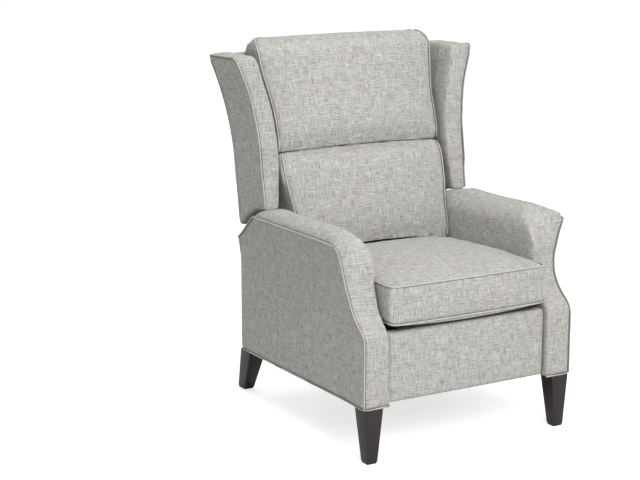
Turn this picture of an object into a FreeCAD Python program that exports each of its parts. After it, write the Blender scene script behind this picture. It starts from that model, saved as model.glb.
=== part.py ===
import FreeCAD, Part
import math
import os

# High-leg wing recliner, in millimetres. +Z is up and the chair faces -Y.
# Depths (the Y values below) are measured backwards from the fronts of the arms. The finished pieces
# are moved forward by half the overall depth, so that the origin is on the floor under the middle.
# Left and right are as seen by someone who stands in front of the chair.

V = FreeCAD.Vector

# Body and arms
BODY_WIDTH = 724.0
ARM_THICKNESS = 82.0
ARM_BOTTOM = 164.0
ARM_DEPTH = 748.0
ARM_TOP = 659.0
KNEE_HEIGHT = 386.0
SCOOP_DEPTH = 100.0
SCOOP_TOP = 600.0
ARM_FRONT_ROUND = 24.0
ARM_FLARE = 44.0
FLARE_START = 445.0
FLARE_TOP = 626.0
ARM_ROLL_INSIDE = 590.0
ARM_FALL_START = 400.0
ARM_FALL_MIDDLE = (545.0, 645.0)
ARM_FALL_END = (622.0, 607.0)
ARM_BACK_CORNER = 531.0

# Wooden parts inside the arms
MECHANISM_RAIL_THICKNESS = 18.0
MECHANISM_RAIL_FRONT = 40.0
MECHANISM_RAIL_BOTTOM = 168.0
MECHANISM_RAIL_TOP = 300.0
ARM_PANEL_THICKNESS = 15.0
ARM_PANEL_INSET = 34.0
BLOCK_SIZE = 38.0
BLOCK_HEIGHT = 45.0
BLOCK_INSET = 10.0

# Legs
LEG_TOP = 59.0
FRONT_FOOT_WIDTH = 34.0
FRONT_FOOT_DEPTH = 32.0
FRONT_FOOT_OUTER_TAPER = 10.0
FRONT_FOOT_FRONT_TAPER = 6.0
REAR_FOOT_WIDTH = 34.0
REAR_FOOT_DEPTH = 42.0
REAR_FOOT_SLANT = 48.0
REAR_FOOT_RAKE = 112.0
REAR_FOOT_BACK = ARM_DEPTH + REAR_FOOT_RAKE
FOOT_CHAMFER = 4.0
LEG_BOLT_RADIUS = 4.0
LEG_BOLT_LENGTH = 62.0
LEG_BOLT_IN_BLOCK = 30.0

# Rails across the back of the base
REAR_RAIL_THICKNESS = 18.0
REAR_RAIL_BOTTOM = 170.0
REAR_RAIL_TOP = 290.0
REAR_PANEL_THICKNESS = 18.0
REAR_PANEL_TOP = 294.0
REAR_PANEL_BOTTOM = 168.0
PANEL_SIDE_GAP = 0.5

# Steel of the mechanism: sheets lie side by side, one sheet and one gap to a layer
SHEET = 3.0
SHEET_GAP = 2.0
PIN_RADIUS = 4.0
PIN_FIT = 0.1
HEAD_RADIUS = 7.0
HEAD_THICKNESS = 1.4
HEAD_GAP = 0.3
LINK_HALF_WIDTH = 10.0
BOSS_RADIUS = 13.0

# Pivots of the reclining motion, as (depth, height)
BASE_PIVOT_HEIGHT = 222.0
FRONT_BASE_PIVOT = 375.0
REAR_BASE_PIVOT = 545.0
SWING_LENGTH = 90.0
SWING_LEAN = 30.0
BACK_PIVOT = (600.0, 318.0)
CONTROL_PIVOT_BACK = (648.0, 335.0)
CONTROL_PIVOT_BASE = (664.3, 214.0)
CONTROL_SLACK = 3.8

# Pivots of the footrest linkage, as (depth, height)
LONG_PIVOT = (151.1, 320.0)
LONG_END = (294.7, 212.7)
LINK_SPACING = 53.1
CROSS_END = (86.0, 318.0)
PANEL_LINK_REAR = (325.8, 200.0)
PANEL_LINK_FRONT = (130.0, 294.3)
PANEL_LINK_SLACK = 3.2
DRIVE_TUBE_RADIUS = 8.0
DRIVE_TUBE_WALL = 1.6

# Base plates and the tube between them
BASE_PLATE_FRONT = 345.0
BASE_PLATE_BACK = 678.0
MECHANISM_RAIL_PAST_PLATE = 22.0
MECHANISM_RAIL_BACK = BASE_PLATE_BACK + MECHANISM_RAIL_PAST_PLATE
REAR_PANEL_PAST_PLATE = 64.0
REAR_PANEL_BACK = BASE_PLATE_BACK + REAR_PANEL_PAST_PLATE
BASE_PLATE_BOTTOM = 206.0
BASE_PLATE_TOP = 258.0
CROSS_TUBE_SIZE = 22.0
CROSS_TUBE_WALL = 2.0
CROSS_TUBE_BOTTOM = 172.0
CROSS_TUBE_FRONT = 349.0
PLATE_TAB_MARGIN = 5.0

# Seat frame
SEAT_PLATE_FRONT = 82.0
SEAT_PLATE_OVER_PIVOT = 21.0
SEAT_PLATE_BOTTOM = min(LONG_PIVOT[1], BACK_PIVOT[1]) - BOSS_RADIUS
SEAT_PLATE_TOP = max(LONG_PIVOT[1], BACK_PIVOT[1]) + SEAT_PLATE_OVER_PIVOT
SEAT_PLATE_LAP = 34.0
SEAT_RAIL_WIDTH = 28.0
SEAT_RAIL_FRONT = 76.0
SEAT_RAIL_BACK = 590.0
SEAT_RAIL_HEIGHT = 44.0
SEAT_RAIL_TOP = SEAT_PLATE_TOP + SEAT_RAIL_HEIGHT
SEAT_CROSS_RAIL = 28.0
SEAT_NOSE_FRONT = 24.0
SEAT_NOSE_THICKNESS = 5.0
SPRING_COUNT = 4
SPRING_SPACING = 112.0
SPRING_WIRE = 3.4
SPRING_LOOP_RADIUS = 27.0
SPRING_HALF_WIDTH = 30.0
SPRING_END_MARGIN = 14.0
DECK_THICKNESS = 5.4

# Seat cushion: a (depth, edge height, crown over the edge) for each cross section
SEAT_CUSHION_HALF = 276.0
SEAT_CUSHION_FRONT = 2.0
SEAT_CUSHION_BACK = 540.0
SEAT_CUSHION_CORNER = 24.0
SEAT_CUSHION_DRAW_IN = 3.0
SEAT_CUSHION_REST = 3.0
SEAT_CUSHION_DROOP = SEAT_RAIL_TOP + SEAT_CUSHION_REST
SEAT_CUSHION_SHOULDER = 90.0
SEAT_CUSHION_SECTIONS = (
    (2.0, 511.0, 2.0),
    (60.0, 511.0, 22.0),
    (200.0, 510.0, 38.0),
    (380.0, 506.0, 35.0),
    (480.0, 497.0, 27.0),
    (540.0, 485.0, 13.0),
)

# Footrest panel
FOOTREST_FRONT = 7.0
FOOTREST_BACK = 70.0
FOOTREST_BOTTOM = 169.0
FOOTREST_TOP = 376.0
FOOTREST_SIDE_GAP = 3.0
FOOTREST_BOARD = 12.0
FOOTREST_BOARD_INSET = 12.0
FOOTREST_EDGE_ROUND = 14.0
FOOTREST_CROWN = 3.0
BRACKET_FLANGE = 26.0

# Back, drawn upright and then leaned about the lower rear edge of the wings
BACK_LEAN = 8.4
LEAN_HINGE = (740.0, 573.0)
BACK_DEPTH = 190.0
OUTSIDE_BACK_THICKNESS = 14.0
BACK_FRAME_THICKNESS = 34.0
BACK_FRAME_BOTTOM = 330.0
BACK_FRAME_TOP = 1050.0
BACK_RAIL_HEIGHT = 40.0
POST_WIDTH = 26.0
POST_SHOULDER_START = 575.0
POST_SHOULDER_END = 650.0
POST_SHOULDER_OUT = 307.7
WEBBING_THICKNESS = 1.6
WEBBING_WIDTH = 50.0
WEBBING_HEIGHTS = (420.0, 540.0, 660.0, 780.0, 900.0)
BRACKET_TOP = 500.0
WING_BOTTOM = 619.0
WING_NOTCH = (684.0, 601.0)
WING_HEEL = 571.0
WING_FRONT_TOP = 1078.0
WING_REAR_TOP = 1103.0
WING_OUTER_BOTTOM = 369.0
WING_OUTER_TOP = 431.0
WING_INNER_BOTTOM = 329.0
WING_INNER_WAIST = 309.0
WING_INNER_TOP = 366.0
WING_BOARD_INNER = 330.0
WING_BOARD_THICKNESS = 12.0
WING_BOARD_OVER_BOTTOM = 21.0
WING_BOARD_UNDER_TOP = 128.0
OUTSIDE_BACK_BOTTOM = 303.0
OUTSIDE_BACK_WAIST = 272.0
OUTSIDE_BACK_STEP = 548.0
OUTSIDE_BACK_CROWN = 14.0

# Back cushions, as (depth, height) points of the front curve at the sides and in the middle. Each curve
# runs through its points as arcs, from the bottom to the top.
LOWER_CUSHION_SIDE = ((515.0, 455.0), (522.0, 530.0), (535.0, 610.0), (545.0, 690.0), (559.0, 760.0),
                      (569.0, 782.0), (592.0, 800.0))
LOWER_CUSHION_MIDDLE = ((484.0, 455.0), (486.0, 530.0), (498.0, 610.0), (508.0, 690.0), (524.0, 760.0),
                        (537.0, 783.0), (570.0, 800.0))
UPPER_CUSHION_SIDE = ((572.0, 770.0), (580.0, 850.0), (593.0, 915.0), (606.0, 985.0), (616.0, 1060.0),
                      (630.0, 1124.0), (676.0, 1150.0))
UPPER_CUSHION_MIDDLE = ((541.0, 770.0), (542.0, 850.0), (551.0, 915.0), (565.0, 985.0), (581.0, 1060.0),
                        (604.0, 1126.0), (672.0, 1154.0))
CROWN_AT_QUARTER = 0.70
FACETS_PER_ARC = 4
LOWER_CUSHION_HALF = 293.0
LOWER_CUSHION_HALF_BETWEEN_ARMS = 276.5
LOWER_CUSHION_BOTTOM = 475.0
LOWER_CUSHION_ARCH = 21.0
LOWER_CUSHION_SPREAD = 50.0
UPPER_CUSHION_HALF_BOTTOM = 296.0
UPPER_CUSHION_HALF_WAIST = 293.0
UPPER_CUSHION_HALF_TOP = 321.0
UPPER_CUSHION_WAIST = 198.0
UPPER_CUSHION_ROUND = 48.0
UPPER_CUSHION_CORNER = (285.0, 1152.0)
SPLIT_HEIGHT = 788.0
SPLIT_ARCH = 7.0
SPLIT_GAP = 0.8
CUSHION_REST = 0.3

HALF_BODY = BODY_WIDTH / 2
HALF_INSIDE = HALF_BODY - ARM_THICKNESS
HALF_DEPTH = (REAR_FOOT_BACK - FOOT_CHAMFER / 2) / 2
PIECES = {}


def box(x0, x1, y0, y1, z0, z1):
    """A block between two corners."""
    return Part.makeBox(x1 - x0, y1 - y0, z1 - z0, V(x0, y0, z0))


def rod(x0, x1, pivot, radius):
    """A round bar across the chair, from x0 to x1."""
    return Part.makeCylinder(radius, x1 - x0, V(x0, pivot[0], pivot[1]), V(1, 0, 0))


def wire_from(place, start, steps):
    """A closed outline. A step is a point for a line, or a pair of points for an arc through the first."""
    edges = []
    here = start
    for step in steps:
        if isinstance(step[0], tuple):
            edges.append(Part.Arc(place(here), place(step[0]), place(step[1])).toShape())
            here = step[1]
        else:
            edges.append(Part.LineSegment(place(here), place(step)).toShape())
            here = step
    if math.dist(here, start) > 1e-6:
        edges.append(Part.LineSegment(place(here), place(start)).toShape())
    return Part.Wire(edges)


def through_arc(start, middle, end, count):
    """Points on the arc from start through middle to end, without the start, for a shape of flat facets."""
    edge = Part.Arc(*[V(p[0], p[1], 0) for p in (start, middle, end)]).toShape()
    points = edge.discretize(count + 1)
    if math.dist((points[0].x, points[0].y), start) > 1e-6:
        points.reverse()
    return [(p.x, p.y) for p in points[1:]]


def side_profile(x0, x1, start, steps):
    """Extrudes an outline of (depth, height) points across the chair."""
    face = Part.Face(wire_from(lambda p: V(x0, p[0], p[1]), start, steps))
    return face.extrude(V(x1 - x0, 0, 0))


def front_profile(y0, y1, start, steps):
    """Extrudes an outline of (x, height) points from front to back."""
    face = Part.Face(wire_from(lambda p: V(p[0], y0, p[1]), start, steps))
    return face.extrude(V(0, y1 - y0, 0))


def plan_profile(z0, z1, start, steps):
    """Extrudes an outline of (x, depth) points upwards."""
    face = Part.Face(wire_from(lambda p: V(p[0], p[1], z0), start, steps))
    return face.extrude(V(0, 0, z1 - z0))


def mirrored_outline(right):
    """Closes an outline of steps on the right side, from bottom to top, with their mirror images."""
    points = [right[0]] + [step[1] if isinstance(step[0], tuple) else step for step in right[1:]]
    left = []
    for i in range(len(right) - 1, 0, -1):
        end = (-points[i - 1][0], points[i - 1][1])
        step = right[i]
        left.append(((-step[0][0], step[0][1]), end) if isinstance(step[0], tuple) else end)
    return left


def joined(first, *others):
    """Fuses pieces and drops the seams between them."""
    return first.fuse(list(others)).removeSplitter()


def add(name, shape):
    """Keeps a finished piece under its name."""
    PIECES[name] = shape


def add_pair(name, shape):
    """Keeps a right-hand piece and its mirror image."""
    add(name + "_right", shape)
    add(name + "_left", shape.mirror(V(0, 0, 0), V(1, 0, 0)))


def leaned(shape):
    """Leans an upright back piece into its place."""
    tilted = shape.copy()
    tilted.rotate(V(0, LEAN_HINGE[0], LEAN_HINGE[1]), V(1, 0, 0), -BACK_LEAN)
    return tilted


def layer(number):
    """The inner and outer faces of a sheet: layer 0 lies against the arm, higher ones further in."""
    outer = HALF_INSIDE - number * (SHEET + SHEET_GAP)
    return outer - SHEET, outer


def bar(pivots, number, half_width=LINK_HALF_WIDTH):
    """A flat link with round ends that runs through the pivots in turn."""
    x0, x1 = layer(number)
    parts = [rod(x0, x1, p, half_width) for p in pivots]
    for a, b in zip(pivots, pivots[1:]):
        length = math.dist(a, b)
        side_y = -(b[1] - a[1]) / length * half_width
        side_z = (b[0] - a[0]) / length * half_width
        corners = [(a[0] + side_y, a[1] + side_z), (b[0] + side_y, b[1] + side_z),
                   (b[0] - side_y, b[1] - side_z), (a[0] - side_y, a[1] - side_z)]
        parts.append(side_profile(x0, x1, corners[0], corners[1:]))
    return joined(*parts)


def drilled(shape, pivot, number, radius):
    """Cuts a pivot hole through the sheet of one layer."""
    x0, x1 = layer(number)
    return shape.cut(rod(x0 - 0.1, x1 + 0.1, pivot, radius))


def six_sided(x0, x1, pivot):
    """The six-sided head of a shoulder bolt."""
    turns = [math.radians(60 * i + 30) for i in range(6)]
    corners = [(pivot[0] + HEAD_RADIUS * math.cos(a), pivot[1] + HEAD_RADIUS * math.sin(a)) for a in turns]
    return side_profile(x0, x1, corners[0], corners[1:])


def bolt_inward(pivot, number, through):
    """A shoulder bolt from the inside of one layer through a sheet further in, with its head beyond that sheet."""
    start = layer(number)[0]
    head = layer(through)[0] - HEAD_GAP
    shaft = rod(head - HEAD_THICKNESS, start, pivot, PIN_RADIUS)
    return joined(shaft, six_sided(head - HEAD_THICKNESS, head, pivot))


def bolt_outward(pivot, number, through):
    """A shoulder bolt from the outside of one layer through a sheet further out, with its head beyond that sheet."""
    start = layer(number)[1]
    head = layer(through)[1] + HEAD_GAP
    shaft = rod(start, head + HEAD_THICKNESS, pivot, PIN_RADIUS)
    return joined(shaft, six_sided(head, head + HEAD_THICKNESS, pivot))


HOLE_RADIUS = PIN_RADIUS + PIN_FIT


def arm_side_outline(inset):
    """The side view of an arm, drawn in by the inset."""
    front = inset
    top = ARM_TOP - inset
    back = ARM_DEPTH - inset
    start = (front, ARM_BOTTOM + inset)
    knee = (front, KNEE_HEIGHT + inset / 3)
    scoop_top = (SCOOP_DEPTH + inset, SCOOP_TOP)
    scoop_middle = (SCOOP_DEPTH * 0.70 + inset, KNEE_HEIGHT + (SCOOP_TOP - KNEE_HEIGHT) * 0.40)
    round_start = (scoop_top[0], top - ARM_FRONT_ROUND)
    round_end = (scoop_top[0] + ARM_FRONT_ROUND, top)
    corner = ARM_FRONT_ROUND * (1 - math.sqrt(0.5))
    round_middle = (scoop_top[0] + corner, top - corner)
    steps = [knee, (scoop_middle, scoop_top), round_start, (round_middle, round_end),
             (ARM_FALL_START, top),
             ((ARM_FALL_MIDDLE[0], ARM_FALL_MIDDLE[1] - inset), (ARM_FALL_END[0], ARM_FALL_END[1] - inset)),
             (back, ARM_BACK_CORNER - inset), (back, start[1])]
    return start, steps


def arm_section():
    """The front view of the right arm: upright inside, rolled over the top, flared outside."""
    outer_top = (HALF_BODY + ARM_FLARE, FLARE_TOP)
    flare_middle = (HALF_BODY + ARM_FLARE * 0.34, FLARE_START + (FLARE_TOP - FLARE_START) * 0.56)
    roll_start = (HALF_INSIDE + 24, ARM_TOP - 18)
    start = (HALF_INSIDE, ARM_BOTTOM)
    steps = [(HALF_BODY, ARM_BOTTOM), (HALF_BODY, FLARE_START), (flare_middle, outer_top),
             ((HALF_BODY - 8, ARM_TOP + 1), roll_start),
             ((HALF_INSIDE + 6, ARM_TOP - 42), (HALF_INSIDE, ARM_ROLL_INSIDE))]
    return start, steps


def make_arms():
    """Padded arms, the plywood panel and the mechanism rail inside each, and the corner blocks."""
    reach = HALF_BODY + ARM_FLARE + 20
    start, steps = arm_side_outline(0.0)
    side = side_profile(HALF_INSIDE - 1, reach, start, steps)
    start, steps = arm_section()
    pad = front_profile(-1, ARM_DEPTH + 1, start, steps).common(side)

    rail = box(HALF_INSIDE, HALF_INSIDE + MECHANISM_RAIL_THICKNESS,
               MECHANISM_RAIL_FRONT, MECHANISM_RAIL_BACK, MECHANISM_RAIL_BOTTOM, MECHANISM_RAIL_TOP)
    panel_inner = HALF_INSIDE + MECHANISM_RAIL_THICKNESS
    panel_outer = panel_inner + ARM_PANEL_THICKNESS
    start, steps = arm_side_outline(ARM_PANEL_INSET)
    panel = side_profile(panel_inner, panel_outer, start, steps)

    block_outer = HALF_BODY - BLOCK_INSET
    block_inner = block_outer - BLOCK_SIZE
    front_block = box(max(block_inner, panel_outer), block_outer, BLOCK_INSET, BLOCK_INSET + BLOCK_SIZE,
                      ARM_BOTTOM, ARM_BOTTOM + BLOCK_HEIGHT)
    rear_block = box(max(block_inner, panel_outer), block_outer, ARM_DEPTH - BLOCK_INSET - BLOCK_SIZE,
                     ARM_DEPTH - BLOCK_INSET, ARM_BOTTOM, ARM_BOTTOM + BLOCK_HEIGHT)
    pad = pad.cut([rail, panel, front_block, rear_block])
    add_pair("arm_panel", panel)
    add_pair("mechanism_rail", rail)
    return pad, front_block, rear_block


def tapered_block(low, high):
    """A block with flat sides between two upright rectangles, each (x, y, width, depth, height)."""
    rings = []
    for x, y, width, depth, z in (low, high):
        rings.append([V(x, y, z), V(x + width, y, z), V(x + width, y + depth, z), V(x, y + depth, z)])
    loops = [rings[0], rings[1]]
    for i in range(4):
        j = (i + 1) % 4
        loops.append([rings[0][i], rings[0][j], rings[1][j], rings[1][i]])
    faces = [Part.Face(Part.makePolygon(loop + loop[:1])) for loop in loops]
    return Part.Solid(Part.Shell(faces))


def leg(top_corner, foot_corner, foot_width, foot_depth):
    """A square leg that tapers to its foot, with a small chamfer all round the floor edge."""
    rise = 2 * FOOT_CHAMFER / ARM_BOTTOM
    x, y = [foot_corner[i] + (top_corner[i] - foot_corner[i]) * rise for i in (0, 1)]
    width = foot_width + (LEG_TOP - foot_width) * rise
    depth = foot_depth + (LEG_TOP - foot_depth) * rise
    ankle = (x, y, width, depth, 2 * FOOT_CHAMFER)
    half = FOOT_CHAMFER / 2
    sole = (foot_corner[0] + half, foot_corner[1] + half, foot_width - FOOT_CHAMFER, foot_depth - FOOT_CHAMFER, 0)
    shaft = tapered_block(ankle, (top_corner[0], top_corner[1], LEG_TOP, LEG_TOP, ARM_BOTTOM))
    return shaft.fuse(tapered_block(sole, ankle))


def make_legs(pad, front_block, rear_block):
    """Front legs flush with the arm corners, rear legs raked back, and the bolts that hold them."""
    top_x = HALF_BODY - LEG_TOP
    front_foot = (HALF_BODY - FRONT_FOOT_OUTER_TAPER - FRONT_FOOT_WIDTH, FRONT_FOOT_FRONT_TAPER)
    rear_foot = (HALF_BODY - REAR_FOOT_SLANT - REAR_FOOT_WIDTH, REAR_FOOT_BACK - REAR_FOOT_DEPTH)
    rear_top = (top_x, ARM_DEPTH - LEG_TOP)
    front = leg((top_x, 0), front_foot, FRONT_FOOT_WIDTH, FRONT_FOOT_DEPTH)
    rear = leg(rear_top, rear_foot, REAR_FOOT_WIDTH, REAR_FOOT_DEPTH)

    front_centre = V(HALF_BODY - BLOCK_INSET - BLOCK_SIZE / 2, BLOCK_INSET + BLOCK_SIZE / 2, ARM_BOTTOM)
    rear_centre = V(front_centre.x, ARM_DEPTH - BLOCK_INSET - BLOCK_SIZE / 2, ARM_BOTTOM)
    rake = V(rear_foot[0] + REAR_FOOT_WIDTH / 2, rear_foot[1] + REAR_FOOT_DEPTH / 2, 0) - rear_centre
    down = {"front": V(0, 0, -1), "rear": rake.normalize()}
    bolts = []
    for centre, direction in ((front_centre, down["front"]), (rear_centre, down["rear"])):
        start = centre - direction * LEG_BOLT_IN_BLOCK
        bolts.append(Part.makeCylinder(LEG_BOLT_RADIUS, LEG_BOLT_LENGTH, start, direction))
    add_pair("arm_pad", pad.cut(bolts))
    add_pair("front_leg", front.cut(bolts[0]))
    add_pair("rear_leg", rear.cut(bolts[1]))
    blocks = [front_block.cut(bolts[0]), rear_block.cut(bolts[1])]
    mirrored = [piece.mirror(V(0, 0, 0), V(1, 0, 0)) for piece in blocks]
    add("corner_blocks", Part.makeCompound(blocks + mirrored))
    mirrored = [piece.mirror(V(0, 0, 0), V(1, 0, 0)) for piece in bolts]
    add("leg_bolts", Part.makeCompound(bolts + mirrored))


def make_rear_of_base():
    """The rail between the arms at the back, and the covered panel outside it."""
    panel_front = REAR_PANEL_BACK - REAR_PANEL_THICKNESS
    half = HALF_INSIDE
    add("rear_rail", box(-half, half, panel_front - REAR_RAIL_THICKNESS, panel_front,
                         REAR_RAIL_BOTTOM, REAR_RAIL_TOP))
    half -= PANEL_SIDE_GAP
    add("rear_panel", box(-half, half, panel_front, REAR_PANEL_BACK, REAR_PANEL_BOTTOM, REAR_PANEL_TOP))


def swing_seat_pivot(base_depth):
    """Where a swing link carries the seat, with the chair upright."""
    lean = math.radians(SWING_LEAN)
    return base_depth + SWING_LENGTH * math.sin(lean), BASE_PIVOT_HEIGHT + SWING_LENGTH * math.cos(lean)


def make_base_plates():
    """Steel plates screwed to the mechanism rails, with the tube between them."""
    x0, x1 = layer(0)
    pivots = [(FRONT_BASE_PIVOT, BASE_PIVOT_HEIGHT), (REAR_BASE_PIVOT, BASE_PIVOT_HEIGHT), CONTROL_PIVOT_BASE]
    tab_back = CROSS_TUBE_FRONT + CROSS_TUBE_SIZE + PLATE_TAB_MARGIN
    web = box(x0, x1, BASE_PLATE_FRONT, BASE_PLATE_BACK, BASE_PLATE_BOTTOM, BASE_PLATE_TOP)
    tab = box(x0, x1, CROSS_TUBE_FRONT - PLATE_TAB_MARGIN, tab_back, MECHANISM_RAIL_BOTTOM, BASE_PLATE_TOP)
    bolts = [bolt_inward(p, 0, 1) for p in pivots]
    add_pair("base_plate", joined(web, tab, *bolts))

    outer = box(-x0, x0, CROSS_TUBE_FRONT, CROSS_TUBE_FRONT + CROSS_TUBE_SIZE,
                CROSS_TUBE_BOTTOM, CROSS_TUBE_BOTTOM + CROSS_TUBE_SIZE)
    wall = CROSS_TUBE_WALL
    bore = box(-x0, x0, CROSS_TUBE_FRONT + wall, CROSS_TUBE_FRONT + CROSS_TUBE_SIZE - wall,
               CROSS_TUBE_BOTTOM + wall, CROSS_TUBE_BOTTOM + CROSS_TUBE_SIZE - wall)
    add("cross_tube", outer.cut(bore))


def make_swing_links():
    """The two pairs of links that the seat hangs and swings forward on."""
    for name, depth in (("front_swing_link", FRONT_BASE_PIVOT), ("rear_swing_link", REAR_BASE_PIVOT)):
        low = (depth, BASE_PIVOT_HEIGHT)
        high = swing_seat_pivot(depth)
        link = drilled(bar([low, high], 1), low, 1, HOLE_RADIUS)
        add_pair(name, joined(link, bolt_inward(high, 1, 2)))


def short_pivot():
    """The front seat pivot of the footrest linkage."""
    return LONG_PIVOT[0] - LINK_SPACING, LONG_PIVOT[1]


def short_end():
    """The free end of the short link, level with the long link's."""
    return LONG_END[0] - LINK_SPACING, LONG_END[1]


def make_seat_frame():
    """Seat plates that lap the wooden seat frame, and the frame with its springs and deck."""
    x0, x1 = layer(2)
    swing_pivots = [swing_seat_pivot(FRONT_BASE_PIVOT), swing_seat_pivot(REAR_BASE_PIVOT)]
    link_pivots = [short_pivot(), LONG_PIVOT, BACK_PIVOT]
    plate_back = BACK_PIVOT[0] + BOSS_RADIUS
    web = box(x0, x1, SEAT_PLATE_FRONT, plate_back, SEAT_PLATE_BOTTOM, SEAT_PLATE_TOP)
    lap = box(x0, x1, SEAT_PLATE_FRONT, SEAT_RAIL_BACK, SEAT_PLATE_TOP, SEAT_PLATE_TOP + SEAT_PLATE_LAP)
    bosses = [rod(x0, x1, p, BOSS_RADIUS) for p in swing_pivots]
    plate = joined(web, lap, *bosses, *[bolt_inward(p, 2, 3) for p in link_pivots])
    for pivot in swing_pivots:
        plate = drilled(plate, pivot, 2, HOLE_RADIUS)
    add_pair("seat_plate", plate)

    rail_inner = x0 - SEAT_RAIL_WIDTH
    add_pair("seat_side_rail", box(rail_inner, x0, SEAT_RAIL_FRONT, SEAT_RAIL_BACK, SEAT_PLATE_TOP, SEAT_RAIL_TOP))
    add("seat_rear_rail", box(-rail_inner, rail_inner, SEAT_RAIL_BACK - SEAT_CROSS_RAIL, SEAT_RAIL_BACK,
                              SEAT_PLATE_TOP, SEAT_RAIL_TOP))
    front = side_profile(-rail_inner, rail_inner, (SEAT_RAIL_FRONT, SEAT_PLATE_TOP),
                         [(SEAT_RAIL_FRONT + SEAT_CROSS_RAIL, SEAT_PLATE_TOP),
                          (SEAT_RAIL_FRONT + SEAT_CROSS_RAIL, SEAT_RAIL_TOP), (SEAT_NOSE_FRONT, SEAT_RAIL_TOP),
                          (SEAT_NOSE_FRONT, SEAT_RAIL_TOP - SEAT_NOSE_THICKNESS),
                          (SEAT_RAIL_FRONT, SEAT_RAIL_TOP - SEAT_NOSE_THICKNESS)])
    add("seat_front_rail", front)

    springs = [seat_spring((i - (SPRING_COUNT - 1) / 2) * SPRING_SPACING) for i in range(SPRING_COUNT)]
    add("seat_springs", Part.makeCompound(springs))
    deck_bottom = SEAT_RAIL_TOP + SPRING_WIRE
    add("seat_deck", box(-x0, x0, SEAT_NOSE_FRONT, SEAT_RAIL_BACK,
                         deck_bottom, deck_bottom + DECK_THICKNESS))


def spring_line(x):
    """The middle line of one zigzag spring, as (x, depth) points: straight runs joined by blunt turns."""
    y = SEAT_RAIL_FRONT + SPRING_END_MARGIN
    last = SEAT_RAIL_BACK - SPRING_END_MARGIN
    turns = int((last - y) / (2 * SPRING_LOOP_RADIUS))
    pitch = (last - y) / turns
    corner = pitch * 0.28
    side = 1
    points = [(x - SPRING_HALF_WIDTH, y)]
    for _ in range(turns):
        reach = side * SPRING_HALF_WIDTH
        points += [(x + reach - side * corner, y), (x + reach, y + corner),
                   (x + reach, y + pitch - corner), (x + reach - side * corner, y + pitch)]
        y += pitch
        side = -side
    points.append((x - side * SPRING_HALF_WIDTH, y))
    return points


def seat_spring(x):
    """One zigzag spring of square wire, flat on the front and rear rails."""
    points = spring_line(x)
    half = SPRING_WIRE / 2
    left = []
    right = []
    for i in range(len(points)):
        before = points[max(i - 1, 0)]
        after = points[min(i + 1, len(points) - 1)]
        here = points[i]
        angles = [math.atan2(b[1] - a[1], b[0] - a[0]) for a, b in ((before, here), (here, after)) if a != b]
        turn = (angles[-1] - angles[0] + math.pi) % (2 * math.pi) - math.pi
        across = angles[0] + turn / 2 + math.pi / 2
        reach = half / math.cos(turn / 2)
        offset = (reach * math.cos(across), reach * math.sin(across))
        left.append((here[0] + offset[0], here[1] + offset[1]))
        right.append((here[0] - offset[0], here[1] - offset[1]))
    loop = left + right[::-1]
    return plan_profile(SEAT_RAIL_TOP, SEAT_RAIL_TOP + SPRING_WIRE, loop[0], loop[1:])


def make_seat_cushion():
    """The loose seat cushion: crowned between its edges, drawn in at the sides, hanging over in front."""
    half = SEAT_CUSHION_HALF
    wires = []
    for y, edge, crown in SEAT_CUSHION_SECTIONS:
        shoulder = half - SEAT_CUSHION_SHOULDER
        near_edge = half - SEAT_CUSHION_SHOULDER / 3
        right = [(half, edge), (near_edge, edge + crown * 0.52), (shoulder, edge + crown * 0.86),
                 (shoulder / 2, edge + crown * 0.965)]
        steps = [(half, SEAT_CUSHION_DROOP)] + right + [(0, edge + crown)]
        steps += [(-p[0], p[1]) for p in reversed(right)]
        wires.append(wire_from(lambda p, y=y: V(p[0], y, p[1]), (-half, SEAT_CUSHION_DROOP), steps))
    crowned = Part.makeLoft(wires, True, True)

    front = SEAT_CUSHION_FRONT
    back = SEAT_CUSHION_BACK
    corner = SEAT_CUSHION_CORNER
    turn = corner * (1 - math.sqrt(0.5))
    waist = (half - SEAT_CUSHION_DRAW_IN, (front + back) / 2)
    right = [(half - corner, front + 2), ((half - turn, front + turn + 1), (half, front + corner)),
             (waist, (half, back - corner)), ((half - turn, back - turn), (half - corner, back))]
    steps = right[1:] + [(-half + corner, back)] + mirrored_outline(right)[:3]
    steps += [((0, front), right[0])]
    plan = plan_profile(SEAT_CUSHION_DROOP - 5, SEAT_CUSHION_SECTIONS[2][1] + 2 * SEAT_CUSHION_SECTIONS[2][2],
                        right[0], steps)
    deck_top = SEAT_RAIL_TOP + SPRING_WIRE + DECK_THICKNESS
    over_deck = box(-half - 1, half + 1, SEAT_NOSE_FRONT - CUSHION_REST, back + 1,
                    SEAT_CUSHION_DROOP - 1, deck_top + CUSHION_REST)
    add("seat_cushion", crowned.common(plan).cut(over_deck))


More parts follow.
